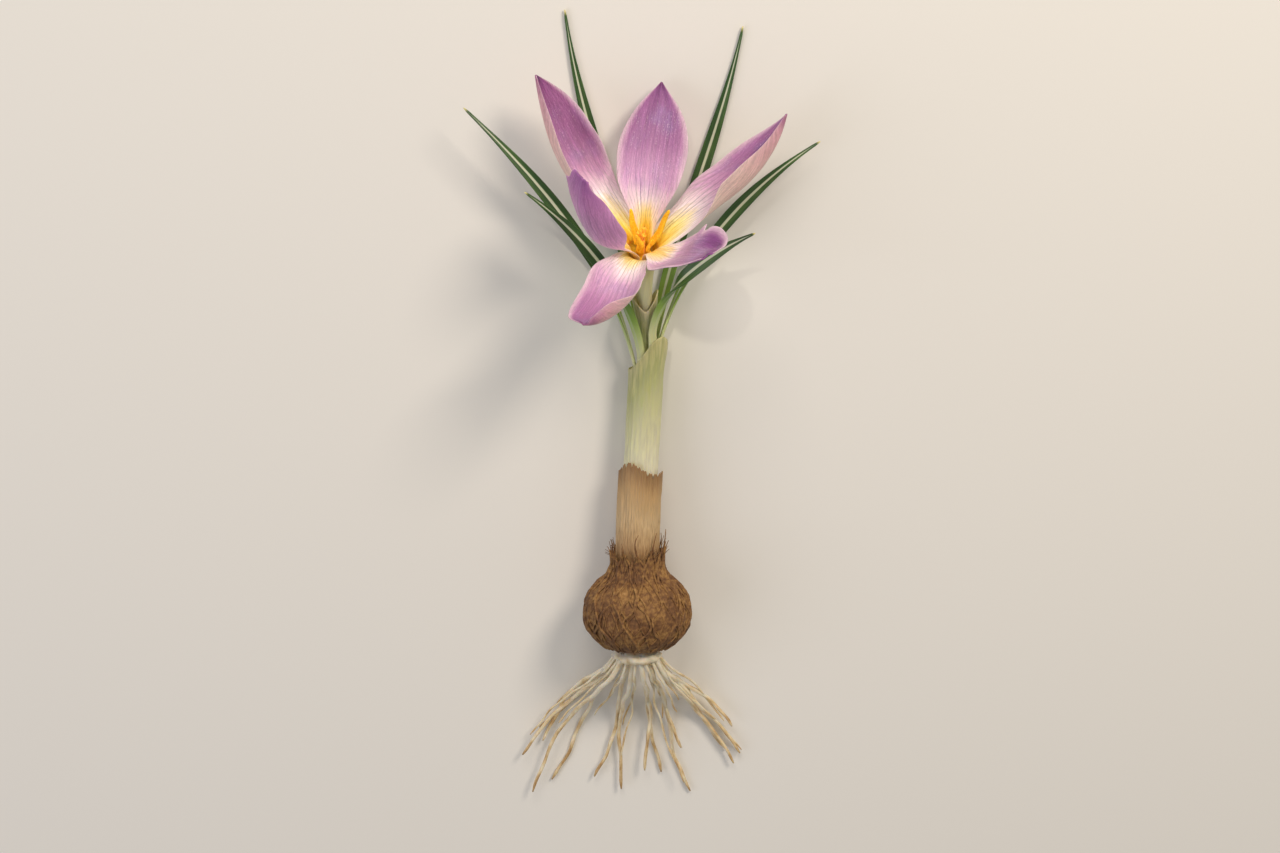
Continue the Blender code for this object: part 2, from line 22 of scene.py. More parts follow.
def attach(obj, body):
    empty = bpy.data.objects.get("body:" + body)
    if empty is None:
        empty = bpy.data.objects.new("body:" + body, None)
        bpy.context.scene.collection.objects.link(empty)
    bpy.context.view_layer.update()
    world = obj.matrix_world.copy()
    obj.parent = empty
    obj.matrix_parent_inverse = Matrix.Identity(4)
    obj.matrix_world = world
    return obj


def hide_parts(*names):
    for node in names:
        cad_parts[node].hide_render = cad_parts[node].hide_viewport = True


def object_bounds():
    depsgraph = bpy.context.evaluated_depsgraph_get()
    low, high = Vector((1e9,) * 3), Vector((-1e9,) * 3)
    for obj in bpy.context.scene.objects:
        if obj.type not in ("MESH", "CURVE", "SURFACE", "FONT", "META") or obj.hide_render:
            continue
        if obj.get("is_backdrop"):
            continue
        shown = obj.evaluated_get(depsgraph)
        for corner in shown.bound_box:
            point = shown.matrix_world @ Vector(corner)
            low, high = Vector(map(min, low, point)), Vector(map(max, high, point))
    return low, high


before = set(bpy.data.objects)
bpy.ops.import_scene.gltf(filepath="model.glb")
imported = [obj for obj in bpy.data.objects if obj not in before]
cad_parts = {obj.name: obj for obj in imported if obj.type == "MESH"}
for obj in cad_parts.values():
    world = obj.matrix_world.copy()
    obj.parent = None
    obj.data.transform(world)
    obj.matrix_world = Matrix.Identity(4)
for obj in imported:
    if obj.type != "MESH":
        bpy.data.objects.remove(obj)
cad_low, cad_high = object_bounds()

MM = 0.001
print("solids:", len(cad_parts), "size in mm:", [round(x / MM, 1) for x in cad_high - cad_low])

# %% [markdown]
# ## Small tools for curves
#
# Nearly every part of a plant is a skin over a row of cross-sections along a line. So the tools needed are
# few: a smooth curve through known points, even spacing along it, and a frame of directions to set the
# sections on. Numpy handles a whole row of points at once, which keeps the script fast.

# %% Curves
UP = np.array((0.0, 0.0, 1.0))
STEPS_PER_KNOT = 24
RIPPLE_WAVES, RIPPLE_SIZE = 24, 4.9


def unit(vectors):
    return vectors / np.linalg.norm(vectors, axis=-1, keepdims=True)


def square_to(vectors, ways):
    """The part of vectors that is square to ways, at length 1."""
    return unit(vectors - (vectors * ways).sum(-1, keepdims=True) * ways)


def smooth(x):
    x = np.clip(x, 0.0, 1.0)
    return x * x * (3 - 2 * x)


def rise(x, start, span):
    """0 up to start, 1 from start + span on, and a smooth step between."""
    return smooth((x - start) / span)


def distances(points):
    """How far each point lies along its chain."""
    return np.r_[0, np.cumsum(np.linalg.norm(np.diff(points, axis=0), axis=1))]


def evenly_spaced(points, count):
    """count points at equal distances along a chain of points."""
    points = np.asarray(points, float)
    reached = distances(points)
    marks = np.linspace(0, reached[-1], count)
    return np.stack([np.interp(marks, reached, points[:, k]) for k in range(points.shape[1])], -1)


def curve_through(knots, count):
    """count evenly spaced points on a smooth curve through the knots."""
    known = np.asarray(knots, float)
    known = np.vstack([2 * known[0] - known[1], known, 2 * known[-1] - known[-2]])
    x = np.linspace(0, 1, STEPS_PER_KNOT, endpoint=False)[:, None]
    dense = []
    for a, b, c, d in zip(known, known[1:], known[2:], known[3:]):
        bend = (2 * a - 5 * b + 4 * c - d) * x**2 + (3 * b - a - 3 * c + d) * x**3
        dense.append(0.5 * (2 * b + (c - a) * x + bend))
    return evenly_spaced(np.vstack([*dense, known[-2:-1]]), count)


def read_off(stops, t):
    """The values at t of the smooth curve through stops, which are (place, value) pairs."""
    places, values = (np.array(column, float) for column in zip(*stops))
    slopes = np.empty(len(places))
    slopes[1:-1] = (values[2:] - values[:-2]) / (places[2:] - places[:-2])
    slopes[0] = (values[1] - values[0]) / (places[1] - places[0])
    slopes[-1] = (values[-1] - values[-2]) / (places[-1] - places[-2])
    i = np.clip(np.searchsorted(places, t, side="right") - 1, 0, len(places) - 2)
    span = places[i + 1] - places[i]
    x = (t - places[i]) / span
    ends = values[i] * (1 + 2 * x) * (1 - x) ** 2 + values[i + 1] * x * x * (3 - 2 * x)
    return ends + slopes[i] * span * x * (1 - x) ** 2 + slopes[i + 1] * span * x * x * (x - 1)


def ripple(points, wave, seed):
    """A smooth random relief of about -1 to 1 at points, a sum of waves about wave millimetres long."""
    rng = np.random.default_rng(seed)
    ways = unit(rng.normal(size=(RIPPLE_WAVES, 3))) * rng.uniform(0.6, 1.4, (RIPPLE_WAVES, 1)) * 2 * math.pi
    phases = rng.uniform(0, 2 * math.pi, RIPPLE_WAVES)
    return np.sin((np.asarray(points) / wave) @ ways.T + phases).sum(-1) / RIPPLE_SIZE


print("a curve over a hill has its top at", curve_through([(0, 0), (1, 1), (2, 0)], 9)[4].round(2))

# %% [markdown]
# ## Small tools for meshes
#
# A part is one mesh made of one or more grids: rows of points along it, and columns round it. A grid is
# closed at its two ends, or is a loop whose last row joins its first. It also carries two values for the
# materials, because a plant's colours follow the part and not the room. `share` says where a point is as a
# share of the part: across from -1 to 1, along from 0 to 1, and 0 on the upper face or 1 on the under face.
# `lay` gives the same place in millimetres, so that a pattern has its real size, and a third number that
# shifts the pattern.

# %% Grids
def full_circle(count):
    """count angles, evenly round a circle."""
    return np.linspace(0, 2 * math.pi, count, endpoint=False)


def tube_grid(points, radii, sides, seed=0.0, start=UP):
    """A solid round tube along points as (points, loop, share, lay)."""
    points, radii = np.asarray(points, float), np.asarray(radii, float)
    ways = unit(np.gradient(points, axis=0))
    up, ups = np.asarray(start, float), []
    for way in ways:
        up = square_to(up, way)
        ups.append(up)
    ups = np.array(ups)
    turns = full_circle(sides)[None, :, None]
    rim = np.cos(turns) * np.cross(ways, ups)[:, None] + np.sin(turns) * ups[:, None]
    return lathe_grid(points[:, None] + radii[:, None, None] * rim, distances(points), radii, seed)


def lathe_grid(rings, along, radii, seed=0.0, loop=False):
    """Rings of points with their share and lay, for anything round."""
    rows, columns = rings.shape[:2]
    turns = full_circle(columns)
    along, radii = np.asarray(along, float)[:, None], np.asarray(radii, float)[:, None]
    span = max(float(along.max() - along.min()), 1e-6)
    whole = np.ones((rows, columns))
    share = np.stack([np.cos(turns) * whole, (along - along.min()) / span * whole, 0 * whole], -1)
    lay = np.stack([turns * radii * whole, along * whole, seed * whole], -1)
    return rings, loop, share, lay


print("eight steps round a circle, in degrees:", *np.degrees(full_circle(8)).tolist())

# %% From grids to a part of the plant
def mark_under_face(grid, first_row):
    """Give the rows from first_row on the share value of an under face or an inside."""
    grid[2][first_row:, :, 2] = 1.0


def build(name, grids):
    """One mesh over the grids, with share and lay kept on its points."""
    points, faces, shares, lays, first = [], [], [], [], 0
    for rings, loop, share, lay in grids:
        rows, columns = rings.shape[:2]
        index = np.arange(rows * columns).reshape(rows, columns) + first
        low, high = (index, np.roll(index, -1, axis=0)) if loop else (index[:-1], index[1:])
        quads = np.stack([low, np.roll(low, -1, axis=1), np.roll(high, -1, axis=1), high], -1)
        faces += quads.reshape(-1, 4).tolist()
        if not loop:
            faces += [index[0, ::-1].tolist(), index[-1].tolist()]
        points.append(rings.reshape(-1, 3))
        shares.append(share.reshape(-1, 3))
        lays.append(lay.reshape(-1, 3))
        first += rows * columns
    points = np.vstack(points)
    points[:, 2] = np.maximum(points[:, 2], 0.0)
    mesh = bpy.data.meshes.new(name)
    mesh.from_pydata((points * MM).tolist(), [], faces)
    for key, values in (("share", shares), ("lay", lays)):
        attribute = mesh.attributes.new(key, "FLOAT_VECTOR", "POINT")
        attribute.data.foreach_set("vector", np.vstack(values).ravel())
    edit = bmesh.new()
    edit.from_mesh(mesh)
    bmesh.ops.recalc_face_normals(edit, faces=edit.faces)
    edit.to_mesh(mesh)
    edit.free()
    mesh.shade_smooth()
    return mesh


def new_object(name, data):
    """An object that shows data, linked into the scene."""
    thing = bpy.data.objects.new(name, data)
    bpy.context.scene.collection.objects.link(thing)
    return thing


def plant_part(name, grids, material, slot, *nodes):
    """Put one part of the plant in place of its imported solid."""
    mesh = build(name, grids)
    mesh.materials.append(material)
    part = new_object(name, mesh)
    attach(part, "root")
    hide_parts(*nodes)
    print(name, "has", sum(len(face.vertices) - 2 for face in mesh.polygons), "triangles")


# %% [markdown]
# ## Small tools for materials
#
# Colours are written as the sRGB codes a colour picker shows, and one function turns them to the linear
# values that a shader works with. One more function adds a node, with its settings, its colour stops where
# it is a ramp, and its links. Some nodes have several inputs of one name, so inputs are called by number
# there. A MapRange turns the range from 1 to 2 of its value 0 into the range from 3 to 4, which is 0 to 1
# where it isn't given, and with SOFT it eases in and out. A Mix with COLOURS goes from colour 6 to colour 7
# by its factor 0, and its colour comes out as output 2.
#
# Living tissue lets some light in, so its shader has a subsurface weight. The radius says how far red,
# green and blue light spread in it, as parts of the scale in metres.

# %% Materials
SOFT = dict(interpolation_type="SMOOTHSTEP")
COLOURS = dict(data_type="RGBA")


def linear(code):
    """The linear colour, with alpha 1, of an sRGB code such as "#b4799f"."""
    parts = (int(code[k : k + 2], 16) / 255 for k in (1, 3, 5))
    return (*(p / 12.92 if p <= 0.04045 else ((p + 0.055) / 1.055) ** 2.4 for p in parts), 1.0)


def add(tree, kind, inputs=None, stops=None, **settings):
    """A new node. inputs gives values or outputs to link, and stops the (place, colour) stops of a ramp."""
    node = tree.nodes.new("ShaderNode" + kind)
    for key, value in settings.items():
        setattr(node, key, value)
    for key, value in (inputs or {}).items():
        if isinstance(value, bpy.types.NodeSocket):
            tree.links.new(value, node.inputs[key])
        else:
            node.inputs[key].default_value = value
    if stops:
        elements = node.color_ramp.elements
        while len(elements) < len(stops):
            elements.new(0.5)
        for element, (place, code) in zip(elements, stops):
            element.position = place
            element.color = linear(code)
    return node


def new_material(name, **constants):
    """(material, tree, shader), with constants set on the shader's own sockets of those names."""
    material = bpy.data.materials.new(name)
    material.use_nodes = True
    shader = material.node_tree.nodes["Principled BSDF"]
    for key, value in constants.items():
        shader.inputs[key.replace("_", " ")].default_value = value
    return material, material.node_tree, shader


def finish_surface(tree, shader, colour, height, strength, depth_mm):
    """Give the shader its colour, and a fine relief from height that is depth_mm deep at strength 1."""
    bump = add(tree, "Bump", {"Height": height, "Strength": strength, "Distance": depth_mm * MM})
    tree.links.new(colour, shader.inputs["Base Color"])
    tree.links.new(bump.outputs["Normal"], shader.inputs["Normal"])


def part_place(tree):
    """(across, along, face, lay): the values that the meshes carry."""
    share = add(tree, "Attribute", attribute_name="share")
    lay = add(tree, "Attribute", attribute_name="lay")
    parts = add(tree, "SeparateXYZ", {0: share.outputs["Vector"]})
    return (*parts.outputs, lay.outputs["Vector"])


def stretched_noise(tree, lay, across_mm, along_mm, detail=3.0):
    """Noise whose grain is across_mm wide and along_mm long on the part."""
    sizes = (1 / across_mm, 1 / along_mm, 1.0)
    scaled = add(tree, "VectorMath", {0: lay, 1: sizes}, operation="MULTIPLY")
    inputs = {"Vector": scaled.outputs[0], "Scale": 1.0, "Detail": detail, "Roughness": 0.55}
    return add(tree, "TexNoise", inputs).outputs["Fac"]


print("a mid grey of #808080 is", round(linear("#808080")[0], 3), "in linear light")

# %% [markdown]
# ## The line of the shoot
#
# The shoot leaves the top of the bulb, runs along just above the table and lifts at its end, where the
# flower opens. Sleeves, leaves and the flower's tube all follow this one line, so it is made first. A place
# on the plant is then a distance along the line, an angle round it and a radius.

# %% The shoot
SHOOT_KNOTS = [
    (0.0, 6.2, 8.85),
    (0.2, 18.0, 7.1),
    (1.0, 34.0, 5.2),
    (1.8, 50.0, 4.4),
    (1.5, 59.0, 5.2),
    (0.9, 66.0, 7.0),
]
FLOWER_AXIS = unit(np.array((0.012, 0.825, 0.565)))
THROAT_REACH = 6.0
SHOOT_POINTS = curve_through([*SHOOT_KNOTS, np.array(SHOOT_KNOTS[-1]) + THROAT_REACH * FLOWER_AXIS], 400)
SHOOT_WAYS = unit(np.gradient(SHOOT_POINTS, axis=0))
SHOOT_LENGTH = float(distances(SHOOT_POINTS)[-1])
THROAT = SHOOT_POINTS[-1]


def shoot_frame(s):
    """(place, way, right, up) at distances s from the top of the bulb."""
    marks = np.linspace(0, SHOOT_LENGTH, len(SHOOT_POINTS))
    place = np.stack([np.interp(s, marks, SHOOT_POINTS[:, k]) for k in range(3)], -1)
    way = unit(np.stack([np.interp(s, marks, SHOOT_WAYS[:, k]) for k in range(3)], -1))
    up = square_to(UP, way)
    return place, way, np.cross(way, up), up


def round_shoot(s, turn, radius):
    """Places by their distance along the shoot, angle round it and radius, spread over a grid."""
    s, turn, radius = np.broadcast_arrays(s, turn, radius)
    place, _, right, up = shoot_frame(s)
    turn, radius = turn[..., None], radius[..., None]
    return place + radius * (np.cos(turn) * right + np.sin(turn) * up)


print("the shoot is", round(SHOOT_LENGTH, 1), "mm long")

# %% [markdown]
# ## The bulb's coat: dry corm tunic, a fibrous skin
#
# A crocus bulb is a solid corm in a dry brown coat, the base of last year's leaves. Its softer tissue has
# rotted away and left a net of stiff fibres over a smooth papery skin, with loose fibre ends round the
# neck. It could be one surface with a bump map, but the net stands up in relief and frays into single
# hairs, so the skin is a lathe shape and each fibre is a thin tube that lies on it.

# %% The bulb's skin
CORM_RADIUS, CORM_BELOW, CORM_ABOVE = 10.3, 7.6, 8.4
CORM_CENTRE = np.array((0.0, 0.0, 9.75))
SHOOT_DIP = math.radians(8.5)
CORM_WAY = np.array((0, math.cos(SHOOT_DIP), -math.sin(SHOOT_DIP)))
CORM_UP = np.array((0, math.sin(SHOOT_DIP), math.cos(SHOOT_DIP)))
CORM_RIGHT = np.array((1.0, 0.0, 0.0))
CORM_BASE, BASE_RING = 6.7, 4.2
NECK_BORE, NECK_WALL, NECK_FLOOR, NECK_START, NECK_TOP, NECK_TEETH = 4.45, 0.7, 6.0, 9.6, 11.2, 2.4
NECK_LINING = 0.35
NET_MESHES = 12
SKIN_DEPTH, CREASES, DENTS = 0.24, (0.07, 0.05), 0.16
AXIS_RING = 0.2


def corm_point(height, turn, radius):
    """Places by their height along the bulb's axis, angle and radius, none below the table."""
    height, turn, radius = (x[..., None] for x in np.broadcast_arrays(height, turn, radius))
    point = CORM_CENTRE + height * CORM_WAY + radius * (np.cos(turn) * CORM_RIGHT + np.sin(turn) * CORM_UP)
    point[..., 2] = np.maximum(point[..., 2], 0.0)
    return point


def corm_outline():
    """(height, radius) up the outside of the bulb, from its base to the rim of its neck."""
    angle = np.radians(np.linspace(-60, 56, 40))
    height = np.where(angle > 0, CORM_ABOVE, CORM_BELOW) * np.sin(angle)
    radius = CORM_RADIUS * np.cos(angle) ** 0.86
    neck = NECK_BORE + NECK_WALL
    outside = list(zip(height, radius)) + [(8.1, neck + 0.45), (9.4, neck + 0.05), (NECK_TOP, neck)]
    return curve_through(outside, 110)


OUTLINE = corm_outline()


def tooth(turn):
    """How far the ragged rim of the neck stands above or below its mean height."""
    ragged = 0.5 * np.cos(NET_MESHES * turn) + 0.22 * np.cos(5 * turn + 1) - 0.2
    return NECK_TEETH * (ragged + 0.12 * np.cos(31 * turn) + 0.1 * np.cos(47 * turn + 2))


SKIN_SIDES = 240


def corm_skin():
    """The lathe shape: out from the axis at the base, up outside, down inside the neck and to the axis."""
    turns = full_circle(SKIN_SIDES)
    height, radius = OUTLINE[:, :1], OUTLINE[:, 1:]
    tall = height + rise(height, NECK_START, NECK_TOP - NECK_START) * tooth(turns)
    creases = CREASES[0] * np.cos(61 * turns + 2 * np.sin(3 * turns)) + CREASES[1] * np.cos(97 * turns)
    dents = DENTS * ripple(corm_point(height, turns, radius), 6.0, 3)
    outside = corm_point(tall, turns, radius - SKIN_DEPTH + (creases + dents) * rise(height, -6.9, 2.0))
    sunk = np.linspace(NECK_TOP, NECK_FLOOR, 8)[:, None]
    sunk = sunk + rise(sunk, NECK_START, NECK_TOP - NECK_START) * tooth(turns)
    inside = corm_point(sunk, turns, NECK_BORE + NECK_LINING)
    floor = corm_point(NECK_FLOOR, turns[None], AXIS_RING)
    base = corm_point(-CORM_BASE, turns, np.array([[AXIS_RING], [BASE_RING]]))
    rings = np.concatenate([base, outside, inside, floor])
    return [lathe_grid(rings, np.arange(len(rings)), np.full(len(rings), CORM_RADIUS))]


skin_grids = corm_skin()
print("the skin of the bulb has", skin_grids[0][0].shape[0], "rings")

# %% [markdown]
# ### The net
#
# The fibres run up the bulb side by side. Each one swings left and right, meets its neighbour, stays with
# it for a moment and leaves it again, which makes the lens-shaped meshes. So one fibre is a line round the
# bulb whose angle swings as a sine of its height, and every second fibre swings the other way. Strong
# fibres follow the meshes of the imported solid, and finer ones fill in between. Above the neck each fibre
# ends on its own, some short and some long.

# %% The net of fibres
# Strong fibres and fine ones: how many, half their width, their swing in degrees, the height of one mesh, and
# how long their free ends are as a share of the longest.
FIBRES = [(24, 0.26, 7.0, 9.0, 1.0), (54, 0.15, 3.3, 5.2, 0.6)]
FREE_FROM = NECK_TOP - 0.4
FIBRE_SIDES = 6


def fibre(turn, half_width, swing, period, phase, top, rng):
    """One fibre as a tube: up the bulb from its base, over the neck and into a free end at height top."""
    line = evenly_spaced(OUTLINE, 58)[2:]
    free = np.linspace(0, 1, 9)[1:, None]
    flare = rng.uniform(0.0, 1.3)
    end = np.hstack([FREE_FROM + (top - FREE_FROM) * free, line[-1, 1] + flare * free**1.7])
    height, radius = np.vstack([line[line[:, 0] < FREE_FROM], end]).T
    wander = 0.02 * np.sin(height * 1.7 + rng.uniform(0, 6.28))
    turns = turn + swing * np.sin(2 * math.pi * height / period + phase) + wander
    turns = turns + rng.uniform(-0.12, 0.12) * rise(height, 9.5, 5)
    points = corm_point(height, turns, radius - SKIN_DEPTH + 0.45 * half_width)
    points[:, 2] = np.maximum(points[:, 2], half_width)
    radii = half_width * (1 + 0.18 * np.sin(height * 3.1 + phase)) * (1 - 0.75 * rise(height, 10, top - 10))
    return tube_grid(points, radii, FIBRE_SIDES, seed=rng.uniform(0, 50), start=CORM_UP)


def net_grids():
    rng = random.Random(12)
    grids = []
    for count, half_width, swing, period, free_share in FIBRES:
        for k in range(count):
            turn = 2 * math.pi * (k + 0.5) / count
            phase = math.pi * (k % 2) + math.pi / 2
            top = NECK_TOP + rng.uniform(0.2, 5.4) * free_share
            grids.append(fibre(turn, half_width, math.radians(swing), period, phase, top, rng))
    return grids


fibre_grids = net_grids()
print("fibres in the net:", len(fibre_grids))

# %% [markdown]
# ### Its finish
#
# The coat is dead, dry plant fibre, much like coarse sacking: matt, warm brown, in places nearly black
# brown and in others straw coloured where it is rubbed. Two noises give that, one with blotches of about
# four millimetres over the whole bulb and one with specks of less than a millimetre, which also roughens
# it.

# %% Dry corm tunic
def corm_coat():
    """Dry plant fibre: matt and warm brown, with coarse blotches and fine specks."""
    material, tree, shader = new_material("corm_tunic_dry_fibre", Roughness=0.78, IOR=1.5)
    place = add(tree, "TexCoord").outputs["Object"]
    blotch = add(tree, "TexNoise", {"Vector": place, "Scale": 260.0, "Detail": 4.0, "Roughness": 0.6})
    speck = add(tree, "TexNoise", {"Vector": place, "Scale": 1500.0, "Detail": 3.0}).outputs["Fac"]
    mixed = add(tree, "Math", {0: blotch.outputs["Fac"], 1: speck}, operation="ADD")
    half = add(tree, "Math", {0: mixed.outputs[0], 1: 0.5}, operation="MULTIPLY")
    stops = [(0.3, "#4a2f1a"), (0.46, "#74502f"), (0.58, "#96703f"), (0.75, "#b98f5c")]
    brown = add(tree, "ValToRGB", {"Fac": half.outputs[0]}, stops=stops)
    finish_surface(tree, shader, brown.outputs["Color"], speck, 0.5, 0.12)
    return material


CORM_COAT = corm_coat()
plant_part("bulb_skin", skin_grids, CORM_COAT, "corm_coat", "corm")
plant_part("bulb_net", fibre_grids, CORM_COAT, "corm_coat", "corm")

# %% [markdown]
# ## The roots: living root tissue
#
# Under the bulb a small plate carries a tuft of soft white roots. They are about a millimetre thick, hardly
# branch, and lie limp on the table in a fan. They could be drawn as curves with a bevel, but a tube mesh
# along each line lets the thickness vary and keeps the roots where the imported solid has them. Finer,
# shorter roots fill the tuft. Living root is moist and waxy, so it shines a little and lets some light in.

# %% Roots
ROOT_PLATE_RADIUS, ROOT_COUNT, ROOT_THICKNESS, ROOT_STEPS = 4.6, 15, 1.0, 12
PLATE_RINGS = [(-0.5, 0.6), (0, 0.8), (0.5, 0.95), (1.1, 1), (1.7, 0.9), (2.2, 0.7), (2.4, 0.35), (2.5, 0.05)]
PLATE_SIDES = 48
FINE_ROOTS, FINE_ROOT_RADIUS = 14, 0.27
ROOT_POINTS, ROOT_SIDES = 64, 12
GAP = 0.3


def root_line(index, rng):
    """The points of one root: out of the plate, down to the table and away along it in a fan."""
    ring = 2 * math.pi * (index + 0.5) / ROOT_COUNT
    spread = ROOT_PLATE_RADIUS * (0.78 if index % 2 else 0.5)
    start = CORM_CENTRE - (CORM_BELOW + GAP + 0.5) * CORM_WAY
    start = start + spread * (math.cos(ring) * CORM_RIGHT + math.sin(ring) * CORM_UP)
    length = rng.uniform(24, 38)
    heading = math.radians(-90) + math.cos(ring) * math.radians(38) + rng.uniform(-0.1, 0.1)
    lie = ROOT_THICKNESS / 2 + 0.15 + 0.9 * (index % 3)
    sway, phase = rng.uniform(0.8, 1.8), rng.uniform(0, 6.28)
    t = np.arange(1, 9) / 8
    fall = smooth(t / 0.62)
    side = sway * np.sin(phase + 5.2 * t) * t
    x = start[0] + length * t * math.cos(heading) - side * math.sin(heading)
    y = start[1] + length * t * math.sin(heading) + side * math.cos(heading)
    z = start[2] * (1 - fall) + lie * fall + 0.5 * np.sin(phase + 9 * t) * (1 - t) * t
    return evenly_spaced(np.vstack([start + 0.9 * CORM_WAY, np.stack([x, y, z], -1)]), ROOT_STEPS + 1)


def root_plate():
    """The knobbly plate under the bulb. PLATE_RINGS gives each ring's depth and its share of the radius."""
    turns = full_circle(PLATE_SIDES)
    rings = []
    for depth, share in PLATE_RINGS:
        knobs = 1 + 0.05 * np.sin(7 * turns + depth * 3) + 0.04 * np.sin(12 * turns)
        rings.append(corm_point(-(CORM_BELOW - 0.6 + GAP + depth), turns, ROOT_PLATE_RADIUS * share * knobs))
    return lathe_grid(np.array(rings), range(len(rings)), np.full(len(rings), ROOT_PLATE_RADIUS))


def root_grid(line, radius, seed):
    """One root as a tube along its line: faintly ringed, thinner towards its end and round at the tip."""
    points = curve_through(line, ROOT_POINTS)
    t = np.linspace(0, 1, ROOT_POINTS)
    points[:, 0] += 0.22 * smooth(t * 3) * ripple(points, 7.0, 40 + seed)
    taper = radius * (1 - 0.4 * t) * (1 + 0.07 * np.sin(31 * t + seed) + 0.05 * np.sin(53 * t))
    taper = taper * np.sqrt(np.clip((1.012 - t) / 0.06, 0.02, 1))
    points[:, 2] = np.maximum(points[:, 2], taper + 0.02)
    return tube_grid(points, taper, ROOT_SIDES, seed=5.0 * seed)


def root_grids():
    rng = random.Random(7)
    roots = [(root_line(index, rng), ROOT_THICKNESS / 2) for index in range(ROOT_COUNT)]
    for k in range(FINE_ROOTS):
        line = root_line(k + 0.5, rng)
        steps = rng.randint(7, 11)
        roots.append((line[:steps] + 0.2 * UP, FINE_ROOT_RADIUS))
    return [root_plate(), *(root_grid(line, radius, k) for k, (line, radius) in enumerate(roots))]


print("roots:", ROOT_COUNT, "main ones and", FINE_ROOTS, "fine ones")

# %% Living root tissue
def root_tissue():
    """Living root: moist and waxy, creamy white, with a browner tip and plate and faint darker patches."""
    light = dict(Subsurface_Weight=0.4, Subsurface_Radius=(1.0, 0.75, 0.45), Subsurface_Scale=0.0006)
    material, tree, shader = new_material("root_living_tissue", Roughness=0.42, IOR=1.4, **light)
    _, along, _, lay = part_place(tree)
    patches = stretched_noise(tree, lay, 1.2, 3.5, detail=4.0)
    aged = add(tree, "MapRange", {0: along, 1: 0.25, 2: 1.0, 3: 0.0, 4: 0.3})
    tone = add(tree, "Math", {0: patches, 1: aged.outputs[0]}, operation="SUBTRACT")
    stops = [(0.1, "#b39264"), (0.26, "#d8c297"), (0.42, "#ece0c4"), (0.68, "#f6f0df")]
    cream = add(tree, "ValToRGB", {"Fac": tone.outputs[0]}, stops=stops)
    rings = stretched_noise(tree, lay, 2.0, 0.35)
    finish_surface(tree, shader, cream.outputs["Color"], rings, 0.35, 0.1)
    return material


plant_part("root_tuft", root_grids(), root_tissue(), "root_white", "roots")

# %% [markdown]
# ## The sleeves round the shoot
#
# Two sleeves wrap the young shoot. The outer one is last season's, short, dry and brown as onion skin. The
# inner one is this year's: white and skin-thin where it was buried, and olive cream where it came up to the
# light. A third, thinner one, the bract, wraps the flower's own tube and ends in two lobes. Each is a tube
# with an inside and an outside, so its cut rim shows how thin it is. Fine ribs run along it, as real
# relief.

# %% Sleeves
MOUTH = 44.0
WALL = 0.6
OUTER_SHEATH_BORE, OUTER_SHEATH_LENGTH = 3.55, 21.0
SHEATH_BORE = 2.65
SHEATH_TONGUE = math.radians(50)
BRACT_START, BRACT_END = 10.0, 55.5
TUBE_RADIUS, THROAT_RADIUS = 0.7, 3.35
ABOVE_TABLE = 0.02


def sleeve_grid(start, bore, lip, rows, sides, skin, ribs, relief, seed):
    """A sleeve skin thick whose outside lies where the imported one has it, with ribs that are relief high."""
    turns = full_circle(sides)
    t = np.linspace(0, 1, rows)[:, None]
    s = start + (lip(turns) - start) * t
    uneven = ribs * turns + 1.5 * np.sin(2 * turns + seed) + 1.1 * np.sin(5 * turns + 2 * seed)
    rib = 0.5 + 0.5 * np.cos(uneven)
    rib = 1 - (1 - rib) * (0.65 + 0.35 * np.sin(3 * turns + seed + s / 4.0))
    crinkle = ripple(np.stack([6 * np.cos(turns) + 0 * s, 6 * np.sin(turns) + 0 * s, s / 2.5], -1), 3.2, seed)
    outside = bore(s) + WALL - relief * (1 - rib) + relief * np.clip(crinkle, -2, 0.2)
    inside = outside - skin * (1 - 0.45 * rise(t, 0.85, 0.15))
    rings = np.concatenate([round_shoot(s, turns, outside), round_shoot(s, turns, inside)[::-1]])
    rings[..., 2] = np.maximum(rings[..., 2], ABOVE_TABLE)
    along = np.r_[s.mean(1), s.mean(1)[::-1]]
    grid = lathe_grid(rings, along, np.full(2 * rows, float(bore(start)) + WALL), seed, loop=True)
    mark_under_face(grid, rows)
    return grid


def outer_sheath_bore(s):
    return OUTER_SHEATH_BORE + 0 * s


def outer_sheath_lip(turn):
    """Where the dry sleeve ends: a slanted rim, torn into fine teeth."""
    torn = 0.5 * np.abs(np.sin(9 * turn + 1)) + 0.3 * np.cos(23 * turn) + 0.25 * np.cos(41 * turn + 2)
    slant = 1.6 * np.cos(turn - math.radians(110)) + 0.7 * np.cos(3 * turn)
    return OUTER_SHEATH_LENGTH + slant + 0.8 * torn - 0.5


def sheath_bore(s):
    return SHEATH_BORE + rise(s, 38, 12)


def sheath_lip(turn):
    """Where the inner sleeve ends. Its mouth is slanted, with a blunt tongue on one side."""
    return MOUTH - 3.5 + 7.5 * (0.5 + 0.5 * np.cos(turn - SHEATH_TONGUE)) ** 3


def tube_radius(s):
    """The outside radius of the flower's tube, which widens like a slender trumpet."""
    widening = np.maximum(0.0, (s - MOUTH) / (SHOOT_LENGTH - MOUTH)) ** 2
    return TUBE_RADIUS + (THROAT_RADIUS - TUBE_RADIUS) * widening


def bract_bore(s):
    return tube_radius(s) + 0.25 + 0.3 * rise(s, MOUTH + 2, 11)


def bract_lip(turn):
    """Where the bract ends, in two lobes."""
    return BRACT_END - 2.6 + 3.2 * np.abs(np.cos(turn)) ** 1.5


print("sleeves, mm across:", *(round(2 * (bore + WALL), 1) for bore in (SHEATH_BORE, OUTER_SHEATH_BORE)))

